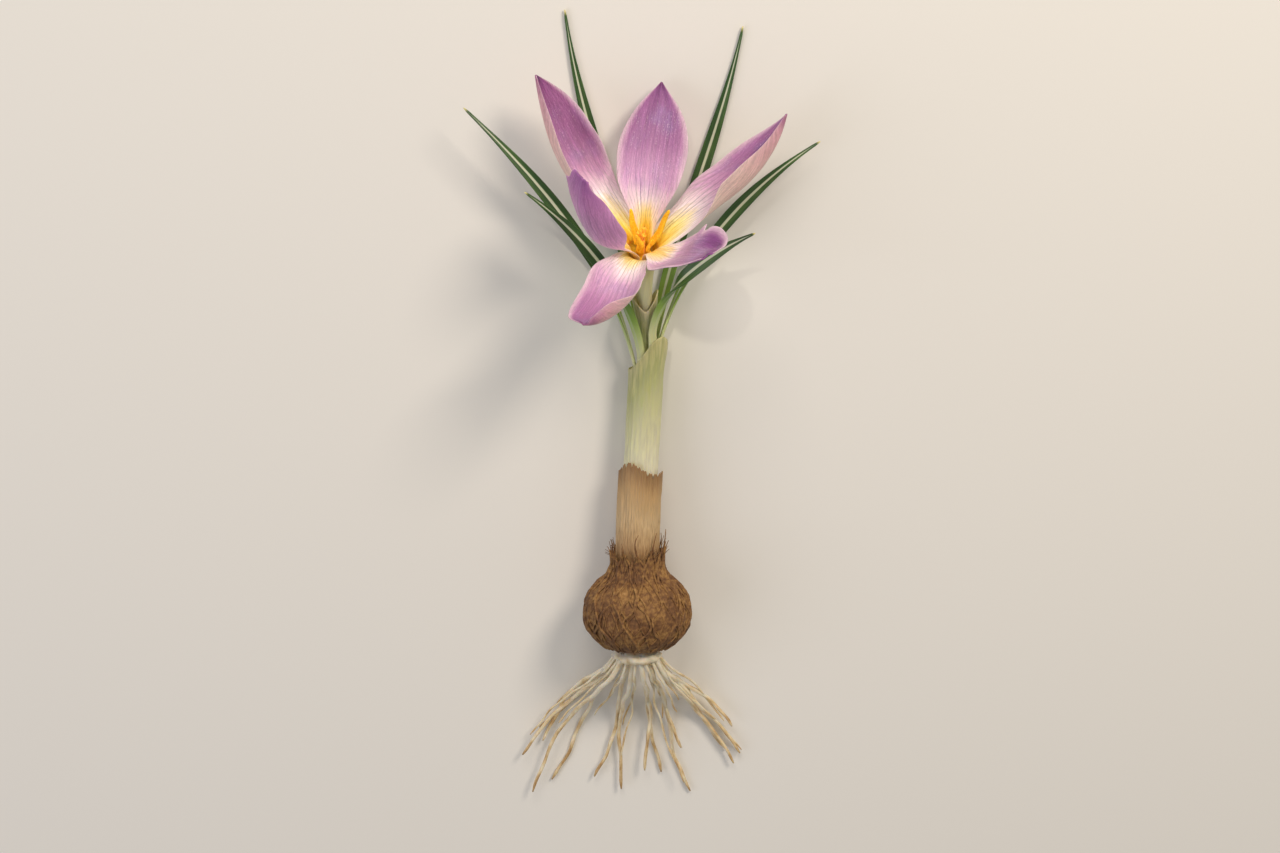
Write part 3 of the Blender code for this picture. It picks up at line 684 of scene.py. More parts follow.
# %% [markdown]
# ### Their finishes
#
# All three are leaf tissue without its green filling, so one function makes them with different ages. The
# dry sleeve is paper: dull, brown and hardly clear. The fresh sleeve and the bract are moist membranes, so
# they have a satin shine and let light through. Their cells lie in rows along the plant, much longer than
# wide, and are drawn a quarter to half a millimetre wide, as the real cells are too fine to be seen.

# %% Sleeve skins
def sheath_skin(name, stops, rough, clear, cell_mm):
    """A leafy skin: coloured along its length by stops, with lengthwise cells and a soft satin shine."""
    light = dict(Subsurface_Weight=clear, Subsurface_Radius=(1.0, 0.85, 0.45), Subsurface_Scale=0.0008)
    material, tree, shader = new_material(name, Roughness=rough, IOR=1.42, **light)
    _, along, _, lay = part_place(tree)
    grain = stretched_noise(tree, lay, cell_mm, 9 * cell_mm, detail=4.0)
    shift = add(tree, "MapRange", {0: grain, 1: 0.2, 2: 0.8, 3: -0.13, 4: 0.13})
    tone = add(tree, "Math", {0: along, 1: shift.outputs[0]}, operation="ADD")
    ramp = add(tree, "ValToRGB", {"Fac": tone.outputs[0]}, stops=stops)
    veins = add(tree, "MapRange", {0: grain, 1: 0.35, 2: 0.65, 3: 0.82, 4: 1.08})
    shaded = add(tree, "VectorMath", {0: ramp.outputs["Color"], "Scale": veins.outputs[0]}, operation="SCALE")
    finish_surface(tree, shader, shaded.outputs[0], grain, 0.4, 0.1)
    return material


DRY_STOPS = [(0.0, "#7d5f3f"), (0.25, "#a8845a"), (0.55, "#ccb086"), (0.8, "#bf9d6f"), (1.0, "#8f6d49")]
FRESH_STOPS = [(0.0, "#f0e9d6"), (0.4, "#efe9d0"), (0.68, "#d9d8ac"), (0.86, "#b9bd83"), (1.0, "#c3bf8c")]
BRACT_STOPS = [(0.0, "#eeead2"), (0.6, "#dfe0b6"), (0.85, "#b9c088"), (0.95, "#c9c698"), (1.0, "#d8caa6")]

outer_sleeve = sleeve_grid(GAP, outer_sheath_bore, outer_sheath_lip, 60, 260, 0.2, 46, 0.14, 5)
dry_skin = sheath_skin("sheath_dry_papery", DRY_STOPS, 0.55, 0.15, 0.24)
plant_part("dry_sleeve", [outer_sleeve], dry_skin, "dry_sheath", "outer_sheath")

inner_sleeve = sleeve_grid(GAP, sheath_bore, sheath_lip, 90, 160, 0.3, 26, 0.1, 6)
fresh_skin = sheath_skin("sheath_fresh_membrane", FRESH_STOPS, 0.4, 0.35, 0.45)
plant_part("pale_sleeve", [inner_sleeve], fresh_skin, "pale_sheath", "inner_sheath")

bract_sleeve = sleeve_grid(BRACT_START, bract_bore, bract_lip, 90, 112, 0.24, 16, 0.07, 7)
bract_skin = sheath_skin("bract_thin_membrane", BRACT_STOPS, 0.42, 0.4, 0.35)
plant_part("flower_bract", [bract_sleeve], bract_skin, "bract_green", "bract")

# %% [markdown]
# ## The leaves: crocus leaf, a waxed narrow blade
#
# A crocus leaf is about two and a half millimetres wide and looks like a dark green gutter with a white
# line painted down it: the line is pale tissue without green, over a keel that stiffens the blade from
# below. Its section is drawn once, as a rounded lens with a keel, and swept along a curve from inside the
# sleeve to the tip. The white line is a band across the share values, so it follows every bend.

# %% Leaves
# Each leaf: its angle round the shoot, how much it spreads at first, and the place and direction of its tip.
LEAVES = [
    (180, 0.25, (-31.0, 97.0, 9.0), (-0.72, 0.68, -0.1)),
    (240, 0.06, (-13.0, 113.0, 0.6), (-0.12, 1.0, 0.0)),
    (300, 0.06, (19.0, 110.0, 0.6), (0.2, 1.0, 0.0)),
    (0, 0.25, (33.0, 90.0, 5.5), (0.85, 0.52, -0.12)),
    (60, 0.25, (21.0, 76.0, 17.0), (0.72, 0.45, 0.5)),
    (120, 0.25, (-20.0, 83.0, 15.0), (-0.7, 0.6, 0.35)),
]
LEAF_RING, LEAF_THICKNESS, LEAF_WIDTH_INSIDE, LEAF_WIDTH = 2.1, 0.6, 1.7, 2.6
LEAF_ROWS_INSIDE, LEAF_ROWS_FREE, LEAF_SIDES = 30, 130, 32
KEEL_HEIGHT, GROOVE_DEPTH, GUTTER_DEPTH = 0.13, 0.1, 0.24


def leaf_width(t):
    """The width of a leaf at share t of its free length."""
    widening = LEAF_WIDTH_INSIDE + (LEAF_WIDTH - LEAF_WIDTH_INSIDE) * smooth(t / 0.35)
    return widening * (1 - rise(t, 0.55, 0.47) ** 1.2 * 0.82)


def leaf_line(turn, spread, tip, tip_way):
    """The points of a leaf: along the shoot inside the sleeve, then free to its tip as one even bend."""
    leaves_at = float(sheath_lip(turn)) + 0.5
    inside = round_shoot(np.linspace(1.3, leaves_at, LEAF_ROWS_INSIDE), turn, LEAF_RING)
    start, end = inside[-1], np.array(tip)
    place, way, _, _ = shoot_frame(leaves_at)
    reach = np.linalg.norm(end - start)
    pull_start = start + (way + spread * square_to(start - place, way)) * reach * 0.3
    pull_end = end - unit(np.array(tip_way)) * reach * 0.38
    x = np.linspace(0, 1, 120)[:, None]
    pulled = pull_start * 3 * x * (1 - x) ** 2 + pull_end * 3 * x * x * (1 - x)
    free = evenly_spaced(start * (1 - x) ** 3 + pulled + end * x**3, LEAF_ROWS_FREE + 1)[1:]
    return np.vstack([inside, free])


def leaf_section(t, phi, over, half, closing):
    """How far the faces of a leaf lie above its line, round one section: a gutter, a keel and two grooves."""
    thick = LEAF_THICKNESS / 2 * (0.55 + 0.45 * closing)
    keel = (KEEL_HEIGHT * math.sin(min(1.0, t * 3) * math.pi / 2)) * np.exp(-((over / 0.3) ** 2))
    grooves = GROOVE_DEPTH * np.exp(-(((np.abs(over) - 0.5) / 0.16) ** 2))
    lift = np.abs(np.sin(phi)) ** 0.75
    gutter = GUTTER_DEPTH * half * (over**2 - 0.5)
    high = gutter + thick * lift * (0.92 - 0.1 * np.exp(-((over / 0.5) ** 2)))
    low = gutter - (thick - grooves * smooth(t * 3)) * lift * 0.92 - keel * lift
    return np.where(np.sin(phi) >= 0, high, low)


def leaf_grid(number, degrees, spread, tip, tip_way):
    """One leaf. Inside the sleeve it faces the shoot, and further out its upper face turns to the light."""
    turn = math.radians(degrees)
    points = leaf_line(turn, spread, tip, tip_way)
    ways = unit(np.gradient(points, axis=0))
    _, _, right, up = shoot_frame(20.0)
    facing = -(math.cos(turn) * right + math.sin(turn) * up)
    phi = full_circle(LEAF_SIDES)
    over = np.sign(np.cos(phi)) * np.abs(np.cos(phi)) ** 0.8
    even = np.ones(LEAF_SIDES)
    rings, shares, lays = [], [], []
    for i, (point, way, along) in enumerate(zip(points, ways, distances(points))):
        t = max(0.0, (i + 1 - LEAF_ROWS_INSIDE) / LEAF_ROWS_FREE)
        facing = square_to(facing, way)
        face = square_to(facing + (square_to(UP, way) - facing) * 0.75 * float(smooth(t * 1.6)), way)
        half = float(leaf_width(t)) / 2
        closing = math.sqrt(max(0.03, min(1.0, (1.003 - t) / 0.025)))
        height = leaf_section(t, phi, over, half, closing)
        rings.append(point + (half * closing * over)[:, None] * np.cross(way, face) + height[:, None] * face)
        shares.append(np.stack([over, i / (len(points) - 1) * even, (np.sin(phi) < 0) * even], -1))
        lays.append(np.stack([half * over, along * even, 9.0 * number * even], -1))
    rings = np.array(rings)
    rings[..., 2] = np.maximum(rings[..., 2], ABOVE_TABLE)
    return rings, False, np.array(shares), np.array(lays)


print("leaves:", len(LEAVES), "with", LEAF_SIDES, "points round each section")

# %% [markdown]
# ### Its finish
#
# A leaf is covered with wax, so it is half glossy, with a thin clear coat of its own. Under the wax it is
# dark green with a fine lengthwise grain. The part that was buried never turned green and is cream, the tip
# has dried yellow, and the white line shows weaker from below.

# %% Waxed leaf
def leaf_tissue():
    """Waxed leaf: dark green, half glossy, white along its middle, vivid near its base, yellow at its tip."""
    light = dict(Subsurface_Weight=0.12, Subsurface_Radius=(0.4, 1.0, 0.2), Subsurface_Scale=0.0004)
    wax = dict(Coat_Weight=0.15, Coat_Roughness=0.3)
    material, tree, shader = new_material("leaf_waxed_cuticle", Roughness=0.36, IOR=1.45, **light, **wax)
    across, along, face, lay = part_place(tree)
    grain = stretched_noise(tree, lay, 0.16, 6.0)
    blotch = stretched_noise(tree, lay, 1.5, 12.0)
    tone = add(tree, "Math", {0: grain, 1: blotch}, operation="ADD")
    half = add(tree, "Math", {0: tone.outputs[0], 1: 0.5}, operation="MULTIPLY")
    green_stops = [(0.3, "#1f3a1c"), (0.5, "#33552a"), (0.72, "#56783a")]
    green = add(tree, "ValToRGB", {"Fac": half.outputs[0]}, stops=green_stops)
    base_stops = [(0.0, "#f1eed6"), (0.2, "#dfe3ac"), (0.34, "#8fb04e"), (0.5, "#4d7a34")]
    base = add(tree, "ValToRGB", {"Fac": along}, stops=base_stops)
    grown = add(tree, "MapRange", {0: along, 1: 0.3, 2: 0.62}, **SOFT)
    tones = {6: base.outputs["Color"], 7: green.outputs["Color"]}
    body = add(tree, "Mix", {0: grown.outputs[0], **tones}, **COLOURS)

    # The white line has a slightly uneven edge, is clearer on the upper face and ends just before the tip.
    offset = add(tree, "MapRange", {0: grain, 3: -0.05, 4: 0.05})
    away = add(tree, "Math", {0: across}, operation="ABSOLUTE")
    edge = add(tree, "Math", {0: away.outputs[0], 1: offset.outputs[0]}, operation="ADD")
    white = add(tree, "MapRange", {0: edge.outputs[0], 1: 0.14, 2: 0.24, 3: 1.0, 4: 0.0}, **SOFT)
    above = add(tree, "MapRange", {0: face, 1: 0.0, 2: 1.0, 3: 0.92, 4: 0.3})
    fading = add(tree, "MapRange", {0: along, 1: 0.93, 2: 0.985, 3: 1.0, 4: 0.0})
    for limit in (above, fading):
        white = add(tree, "Math", {0: white.outputs[0], 1: limit.outputs[0]}, operation="MULTIPLY")
    striped = add(tree, "Mix", {0: white.outputs[0], 6: body.outputs[2], 7: linear("#cfd6bd")}, **COLOURS)
    end = add(tree, "MapRange", {0: along, 1: 0.985, 2: 1.0}, **SOFT)
    tipped = add(tree, "Mix", {0: end.outputs[0], 6: striped.outputs[2], 7: linear("#d9cf86")}, **COLOURS)
    finish_surface(tree, shader, tipped.outputs[2], grain, 0.35, 0.08)
    return material


LEAF_TISSUE = leaf_tissue()
for number, leaf in enumerate(LEAVES, start=1):
    grid = leaf_grid(number, *leaf)
    plant_part(f"crocus_leaf_{number}", [grid], LEAF_TISSUE, "leaf_green", f"leaf_{number}")

# %% [markdown]
# ## The flower's tube and throat
#
# What looks like the stalk of a crocus is the lower part of the flower itself: a thread-thin tube that
# starts down in the bulb and widens at its top into a funnel. It could be a cone on a rod, but the two pass
# into each other without a corner, so its radius grows with the square of the distance, like a trumpet's.
# Its floor is far down. It is fresh petal tissue, cream outside and deep yellow inside, and light shines
# through its wall.

# %% Flower tube
FLOWER_RIGHT = square_to(np.array((1.0, 0.0, 0.0)), FLOWER_AXIS)
FLOWER_BACK = np.cross(FLOWER_AXIS, FLOWER_RIGHT)
TUBE_FLOOR = 50.0
RIM_THINNED, RIM_REACH = 0.24, 2.4
WALL_BELOW, WALL_THINNED = 0.42, 0.12


def flower_outward(degrees):
    """The direction out from the flower's axis at an angle round it, from its right by way of its back."""
    angle = math.radians(degrees)
    return math.cos(angle) * FLOWER_RIGHT + math.sin(angle) * FLOWER_BACK


def tube_wall(s):
    """How thick the wall of the tube is where it is hollow."""
    return WALL_BELOW - WALL_THINNED * rise(s, 58, 8)


def flower_tube_grid():
    """The tube: up its outside with six faint folds, over a thin rim and down inside to its floor."""
    turns = full_circle(72)
    outside = np.linspace(GAP, SHOOT_LENGTH, 90)[:, None]
    folds = 1 + 0.02 * np.cos(6 * turns) * rise(outside, 50, 8) * smooth((SHOOT_LENGTH - 1.8 - outside) / 3)
    rim = RIM_THINNED * rise(outside, SHOOT_LENGTH - RIM_REACH, RIM_REACH)
    inside = np.linspace(SHOOT_LENGTH - 0.01, TUBE_FLOOR, 40)[:, None]
    outer = round_shoot(outside, turns, tube_radius(outside) * folds - rim)
    inner = round_shoot(inside, turns, tube_radius(inside) - tube_wall(inside))
    along = np.r_[outside[:, 0], inside[:, 0]]
    grid = lathe_grid(np.concatenate([outer, inner]), along, tube_radius(along), 3.0)
    mark_under_face(grid, len(outside))
    return grid


print("the throat is", round(2 * float(tube_radius(SHOOT_LENGTH)), 1), "mm wide at its rim")

# %% Fresh tissue of the tube
def tube_tissue():
    """Fresh petal tissue: cream below, clear yellow towards the throat, deep yellow inside it."""
    light = dict(Subsurface_Weight=0.5, Subsurface_Radius=(1.0, 0.85, 0.4), Subsurface_Scale=0.0016)
    material, tree, shader = new_material("flower_tube_tissue", Roughness=0.45, IOR=1.4, **light)
    _, along, face, lay = part_place(tree)
    grain = stretched_noise(tree, lay, 0.5, 5.0)
    shift = add(tree, "MapRange", {0: grain, 3: -0.05, 4: 0.05})
    tone = add(tree, "Math", {0: along, 1: shift.outputs[0]}, operation="ADD")
    stops = [(0.0, "#f3efdc"), (0.7, "#f0eaca"), (0.88, "#ece6b4"), (0.98, "#dfdb9e")]
    outside = add(tree, "ValToRGB", {"Fac": tone.outputs[0]}, stops=stops)
    inside = add(tree, "ValToRGB", {"Fac": tone.outputs[0]}, stops=[(0.85, "#ffc028"), (1.0, "#ffcc40")])
    both = add(tree, "Mix", {0: face, 6: outside.outputs["Color"], 7: inside.outputs["Color"]}, **COLOURS)
    shade = add(tree, "MapRange", {0: grain, 1: 0.25, 2: 0.75, 3: 0.86, 4: 1.06}).outputs[0]
    shaded = add(tree, "VectorMath", {0: both.outputs[2], "Scale": shade}, operation="SCALE")
    finish_surface(tree, shader, shaded.outputs[0], grain, 0.25, 0.1)
    return material


plant_part("flower_tube_and_throat", [flower_tube_grid()], tube_tissue(), "tube_cream", "flower_tube")

# %% [markdown]
# ## The tepals: petal tissue, thin and cupped
#
# A crocus has six petals that a botanist calls tepals, three outer and three inner. Each has a narrow claw
# in the throat, a broad blade and a pointed end. Flat shapes with a bend would look like paper cut-outs, so
# each blade is swept along its own midrib: at every step the section is as wide as the outline says and its
# two sides turn up by their own angle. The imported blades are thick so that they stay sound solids. The real
# ones are a few tenths of a millimetre thick and thinner still at the margin, and they are so here. Below
# its start a tepal goes on as a claw that sinks into the tube: the outer ones thin out over the tube's rim,
# so that no step shows there, and the inner ones pass down inside it.
#
# An outline gives shares of half the width at shares of the length. A tepal has its place round the throat,
# its roll about its midrib, how far its two sides turn up at the middle and at the tip, and its lean from
# the flower's axis at shares of its length, all in degrees. `sides` are the shares of half the width that
# the two sides have. Of each pair, the side at the lower angle comes first.
#
# What makes a tepal its own is small. A margin entry moves one margin out or in for a short way, which
# draws a tooth, a notch or a lobe: which side (-1 or 1), where along, how long, from which share across,
# and how many millimetres outward. A dent is a hollow in the blade: across and along, its two spreads, and
# its depth.

# %% Shapes of the tepals
WHORLS = {"outer": 3.05, "inner": 2.2}
OUTLINES = {
    "pointed": [
        (0, 0.38), (0.2, 0.55), (0.38, 0.88), (0.52, 1), (0.68, 0.9), (0.82, 0.6), (0.93, 0.27), (1, 0.02)
    ],
    "blunt": [
        (0, 0.38), (0.2, 0.55), (0.38, 0.9), (0.55, 1), (0.7, 0.98), (0.84, 0.86), (0.94, 0.62), (1, 0.2)
    ],
    "oval": [
        (0, 0.22), (0.12, 0.28), (0.25, 0.52), (0.4, 0.86), (0.56, 1), (0.7, 0.9), (0.84, 0.6), (1, 0.02)
    ],
    "lobed": [
        (0, 0.22), (0.12, 0.28), (0.25, 0.5), (0.4, 0.84), (0.55, 0.96), (0.7, 0.86), (0.85, 0.62), (1, 0.3)
    ],
    "hooded": [
        (0, 0.22), (0.12, 0.28), (0.25, 0.52), (0.4, 0.84), (0.58, 1), (0.75, 0.95), (0.9, 0.7), (1, 0.2)
    ],
}
TEPALS = {
    "outer_tepal_right": dict(
        whorl="outer", outline="pointed", place=25, length=35.6, width=13.8, roll=0, sides=(1.26, 0.76),
        turn_up=(106, 44), tip_turn_up=(101, -15), lean=[(0, 43), (0.25, 66), (0.5, 55), (1, 10)],
    ),
    "outer_tepal_left": dict(
        whorl="outer", outline="pointed", place=139, length=36.7, width=13.7, roll=10, sides=(1.07, 1.2),
        turn_up=(69, 94), tip_turn_up=(8, 98), lean=[(0, 39), (0.25, 61), (0.5, 37), (1, 18)],
    ),
    "outer_tepal_front": dict(
        whorl="outer", outline="blunt", place=249, length=28.9, width=13.0, roll=1, sides=(0.79, 1.26),
        turn_up=(25, 68), tip_turn_up=(1, 95), lean=[(0, 29), (0.25, 75), (0.5, 84), (1, 38)],
    ),
    "inner_tepal_back": dict(
        whorl="inner", outline="oval", place=82, length=30.3, width=14.2, roll=6, sides=(0.95, 0.9),
        turn_up=(17, 3), tip_turn_up=(-3, 2), lean=[(0, 15), (0.25, 24), (0.5, 62), (1, 56)],
    ),
    "inner_tepal_left": dict(
        whorl="inner", outline="lobed", place=215, length=31.5, width=14.9, roll=-12, sides=(1.24, 1),
        margins=[(1, 1.0, 0.1, -0.3, -1.3), (-1, 0.93, 0.03, 0.4, -0.7)],
        turn_up=(83, 49), tip_turn_up=(24, 54), lean=[(0, 20), (0.25, 52), (0.45, 25), (0.75, 8), (1, -23)],
    ),
    "inner_tepal_right": dict(
        whorl="inner", outline="hooded", place=299, length=29.5, width=11.3, roll=-16, sides=(1.05, 1.29),
        margins=[(1, 0.505, 0.03, 0.4, 1.3), (1, 0.6, 0.05, 0.4, -0.7), (1, 0.77, 0.08, 0.4, 0.6)],
        dents=[(0.6, 0.78, 0.3, 0.1, -1.1)],
        turn_up=(24, 16), tip_turn_up=(21, -27), lean=[(0, 16), (0.25, 56), (0.5, 39), (0.8, 44), (1, 44)],
    ),
}
TEPAL_ROWS, TEPAL_COLUMNS, FINE_STEPS = 90, 30, 4
CLAW_ROWS, CLAW_DEPTH = 10, 3.0
BLADE_THICKNESS, MARGIN_THICKNESS = 0.34, 0.1
# How far below the tube's surface a claw ends, and how much of its thickness it loses on the way.
CLAW_ENDS = {"outer": (0.02, 0.85), "inner": (0.3, 0.0)}
VEINS = 7.0
print("outlines:", *OUTLINES)

# %% [markdown]
# ### How a blade is swept
#
# The midrib is followed in small steps, each one turned by the lean at its place. The section is followed
# the same way from the midrib to each margin, turning up as it goes, so that a blade keeps its true width
# when it curls. Near the throat the section follows the round of the tube instead.

# %% Midrib, section and relief of a tepal
def midrib(start, outward, lean, length):
    """(points, ways) of a tepal's midrib at TEPAL_ROWS + 1 even steps."""
    t = np.linspace(0, 1, TEPAL_ROWS * FINE_STEPS + 1)
    angle = np.radians(read_off(lean, t))[:, None]
    ways = FLOWER_AXIS * np.cos(angle) + outward * np.sin(angle)
    steps = (ways[:-1] + ways[1:]) / 2 * length / (len(t) - 1)
    points = start + np.vstack([np.zeros(3), np.cumsum(steps, axis=0)])
    return points[::FINE_STEPS], ways[::FINE_STEPS]


def half_section(half, claw_curl, turn_up, tip_turn_up, t):
    """(across, up, turn) from the midrib of a tepal to one of its margins, half millimetres away."""
    u = np.linspace(0, 1, TEPAL_COLUMNS * FINE_STEPS + 1)
    turned_up = math.radians(turn_up + (tip_turn_up - turn_up) * float(rise(t, 0.62, 0.34)))
    as_claw, as_blade = claw_curl * u, turned_up * (1 - (1 - u) ** 1.8)
    turn = as_claw + (as_blade - as_claw) * rise(t, 0.1, 0.4)
    middle = (turn[:-1] + turn[1:]) / 2
    across = np.r_[0, np.cumsum(half * np.cos(middle))] / (len(u) - 1)
    up = np.r_[0, np.cumsum(half * np.sin(middle))] / (len(u) - 1)
    return across[::FINE_STEPS], up[::FINE_STEPS], turn[::FINE_STEPS]


def swell(c, t, seed):
    """How far a blade stands out of its plain curve at c across and t along: waves, ribs, a sunk midrib."""
    waves = 0.13 * np.sin(5.1 * t + 2.3 * c + seed) * np.sin(3.7 * c + seed * 1.7)
    waves = waves + 0.07 * np.cos(9.5 * c + 1.3 * seed + 1.2 * t) * (1 - np.abs(c) ** 4) * rise(t, 0.3, 0.3)
    margin = 0.11 * np.abs(c) ** 4 * np.sin(19 * t + 2.1 * seed + np.sign(c)) * (1 - rise(t, 0.85, 0.15))
    ribs = 0.018 * np.cos(2 * math.pi * VEINS * c) * (1 - np.abs(c) ** 6)
    groove = -0.1 * np.exp(-((c / 0.07) ** 2)) * (1 - rise(t, 0.75, 0.2))
    return rise(t, 0.22, 0.3) * (waves + margin + ribs) + rise(t, 0.1, 0.2) * groove


def shape_margins(middle, c, t, to_margin, face, margins, dents):
    """Move the points of one section by the margin entries and the dents of a tepal."""
    for sign, where, spread, start, shift in margins:
        near = math.exp(-(abs((t - where) / spread) ** 3))
        middle = middle + (sign * shift * near * rise(sign * c, start, 1 - start))[:, None] * to_margin
    for across_at, along_at, across_spread, along_spread, depth in dents:
        falls = ((c - across_at) / across_spread) ** 2 + ((t - along_at) / along_spread) ** 2
        middle = middle + (depth * np.exp(-falls))[:, None] * face
    return middle


print("swell of a blade halfway along:", round(float(np.ptp(swell(np.linspace(-1, 1, 61), 0.5, 1))), 2), "mm")

# %% A whole tepal
def tepal_grid(
    number, whorl, outline, place, length, width, roll,
    sides, turn_up, tip_turn_up, lean, margins=(), dents=(),
):
    """One tepal, from the foot of its claw to its tip, with its upper and its under face."""
    outward, ring = flower_outward(place), WHORLS[whorl]
    below_surface, thinned = CLAW_ENDS[whorl]
    points, ways = midrib(THROAT + outward * ring + FLOWER_AXIS * GAP, outward, lean, length)
    c = np.linspace(-1, 1, 2 * TEPAL_COLUMNS + 1)
    even = np.ones(len(c))
    rings, shares, lays = [], [], []
    for row in range(-CLAW_ROWS, TEPAL_ROWS + 1):
        i, t = max(row, 0), max(row, 0) / TEPAL_ROWS
        way = ways[i]

        # The claw sinks into the tube and moves to its surface, where the next tepals of its whorl meet it.
        sink = CLAW_DEPTH * max(-row, 0) / CLAW_ROWS
        sunk = float(smooth(sink / CLAW_DEPTH))
        meets = ring + (float(tube_radius(SHOOT_LENGTH - sink)) - below_surface - ring) * sunk
        point = points[i] - FLOWER_AXIS * sink + outward * (meets - ring)
        fused = math.pi / 3 * meets * (1.0 - float(smooth(t / 0.14))) if whorl == "outer" else 0.0
        half = max(width * float(read_off(OUTLINES[outline], t)) / 2, fused)

        # The section lies square to the midrib. side points to the margin at the higher angle.
        turned = Matrix.Rotation(-math.radians(roll) * float(smooth(t / 0.5)), 3, Vector(way))
        side = np.array(turned @ Vector(unit(np.cross(way, outward))))
        inward = np.cross(way, side)
        claw_curl = half / float((point - THROAT) @ outward)
        low, high = (
            half_section(half * (1 + (share - 1) * float(rise(t, 0.25, 0.3))), claw_curl, middle, tip, t)
            for share, middle, tip in zip(sides, turn_up, tip_turn_up)
        )
        across, up, turn = (np.r_[sign * a[:0:-1], b] for sign, a, b in zip((-1, 1, -1), low, high))
        up = up + swell(c, t, number)
        along_side, along_inward = np.cos(turn)[:, None], np.sin(turn)[:, None]
        face = along_side * inward - along_inward * side
        to_margin = along_side * side + along_inward * inward
        middle = point + across[:, None] * side + up[:, None] * inward
        middle = shape_margins(middle, c, t, to_margin, face, margins, dents)

        thick = BLADE_THICKNESS * (1 - rise(t, 0.6, 0.4) * 0.4) * (1 - np.abs(c) ** 3) + MARGIN_THICKNESS
        offset = face * (thick * (1 - thinned * sunk))[:, None] / 2
        rings.append(np.vstack([middle + offset, (middle - offset)[::-1]]))
        share = np.stack([c, t * even, 0 * even], -1)
        shares.append(np.vstack([share, share[::-1] + np.array((0, 0, 1.0))]))
        lay = np.stack([c * half, t * length * even, 11.0 * number * even], -1)
        lays.append(np.vstack([lay, lay[::-1]]))
    return np.array(rings), False, np.array(shares), np.array(lays)


print("a section of a tepal has", 2 * (2 * TEPAL_COLUMNS + 1), "points")

# %% [markdown]
# ### Their finish
#
# Petal tissue gets its colour from sap, its veins from water vessels and its glitter from a skin of tiny
# cones, the papillae, that catch the light one by one. So the material has four layers, all tied to the
# share and lay values. The ground runs from deep yellow in the throat over cream to lilac and a violet tip,
# with cooler clouds in the lilac and a pale margin. Over it lie the veins, olive in the pale part and
# violet above, and forking as they rise. Fine lengthwise streaks shade both. Last come the papillae, as
# bumps and as painted highlights, bright specks in the colour. They are a twentieth of a millimetre wide
# on the real flower and are drawn at a quarter to almost half a millimetre, because anything finer would
# vanish in the picture. The underside has its own ground: buff pink with hardly a vein on the outer
# tepals, matt violet with fine dark lines on the inner. The hooded tepal has painted shade in its hollow,
# a dark violet on one side towards its tip, so it has a petal material of its own.

# %% The ground of the petals
def petal_ground(tree, across, along, away, streaks, clouds, inside_stops, outside_stops, hollow_shade):
    """(inside, outside, in_hollow_shade): the colours of both faces before their veins, and where the painted
    hollow shade lies.
    """
    # The throat's yellow runs up the middle of a tepal as a tongue, and less far along its margins.
    tongue = add(tree, "MapRange", {0: along, 1: 0.05, 2: 0.55, 3: 0.2, 4: 0.0}).outputs[0]
    rounded = add(tree, "Math", {0: away, 1: 1.6}, operation="POWER").outputs[0]
    tone = add(tree, "Math", {0: rounded, 1: tongue, 2: along}, operation="MULTIPLY_ADD").outputs[0]
    for noise, low, high in ((streaks, 0.2, 0.1), (clouds, 0.14, 0.14)):
        size = add(tree, "MapRange", {0: along, 1: 0.0, 2: 0.42, 3: low, 4: high}).outputs[0]
        centred = add(tree, "Math", {0: noise, 1: 0.5}, operation="SUBTRACT").outputs[0]
        tone = add(tree, "Math", {0: centred, 1: size, 2: tone}, operation="MULTIPLY_ADD").outputs[0]
    inside = add(tree, "ValToRGB", {"Fac": tone}, stops=inside_stops).outputs["Color"]
    outside = add(tree, "ValToRGB", {"Fac": tone}, stops=outside_stops).outputs["Color"]

    # Three tints lie over the inside, each where two soft steps meet: cool clouds, painted shade in the
    # hollow, a pale margin.
    lilac = add(tree, "MapRange", {0: along, 1: 0.2, 2: 0.45}).outputs[0]
    cool = add(tree, "MapRange", {0: clouds, 1: 0.45, 2: 0.75, 3: 0.0, 4: 0.4}, **SOFT).outputs[0]
    beside = add(tree, "MapRange", {0: across, 1: 0.1, 2: 0.6}, **SOFT).outputs[0]
    # Painted shade: a dark violet on one side of the blade, from 0.58 along on and as strong as hollow_shade,
    # stands for the shade in the hood's hollow.
    ahead = add(tree, "MapRange", {0: along, 1: 0.58, 2: 0.74, 3: 0.0, 4: hollow_shade}, **SOFT).outputs[0]
    margin = add(tree, "MapRange", {0: away, 1: 0.74, 2: 1.0, 3: 0.0, 4: 0.75}, **SOFT).outputs[0]
    weights = []
    tints = [(cool, lilac, "#a295c4"), (beside, ahead, "#7c4380"), (margin, lilac, "#e6c4d6")]
    for one, other, code in tints:
        weights.append(add(tree, "Math", {0: one, 1: other}, operation="MULTIPLY").outputs[0])
        inside = add(tree, "Mix", {0: weights[-1], 6: inside, 7: linear(code)}, **COLOURS).outputs[2]
    return inside, outside, weights[1]


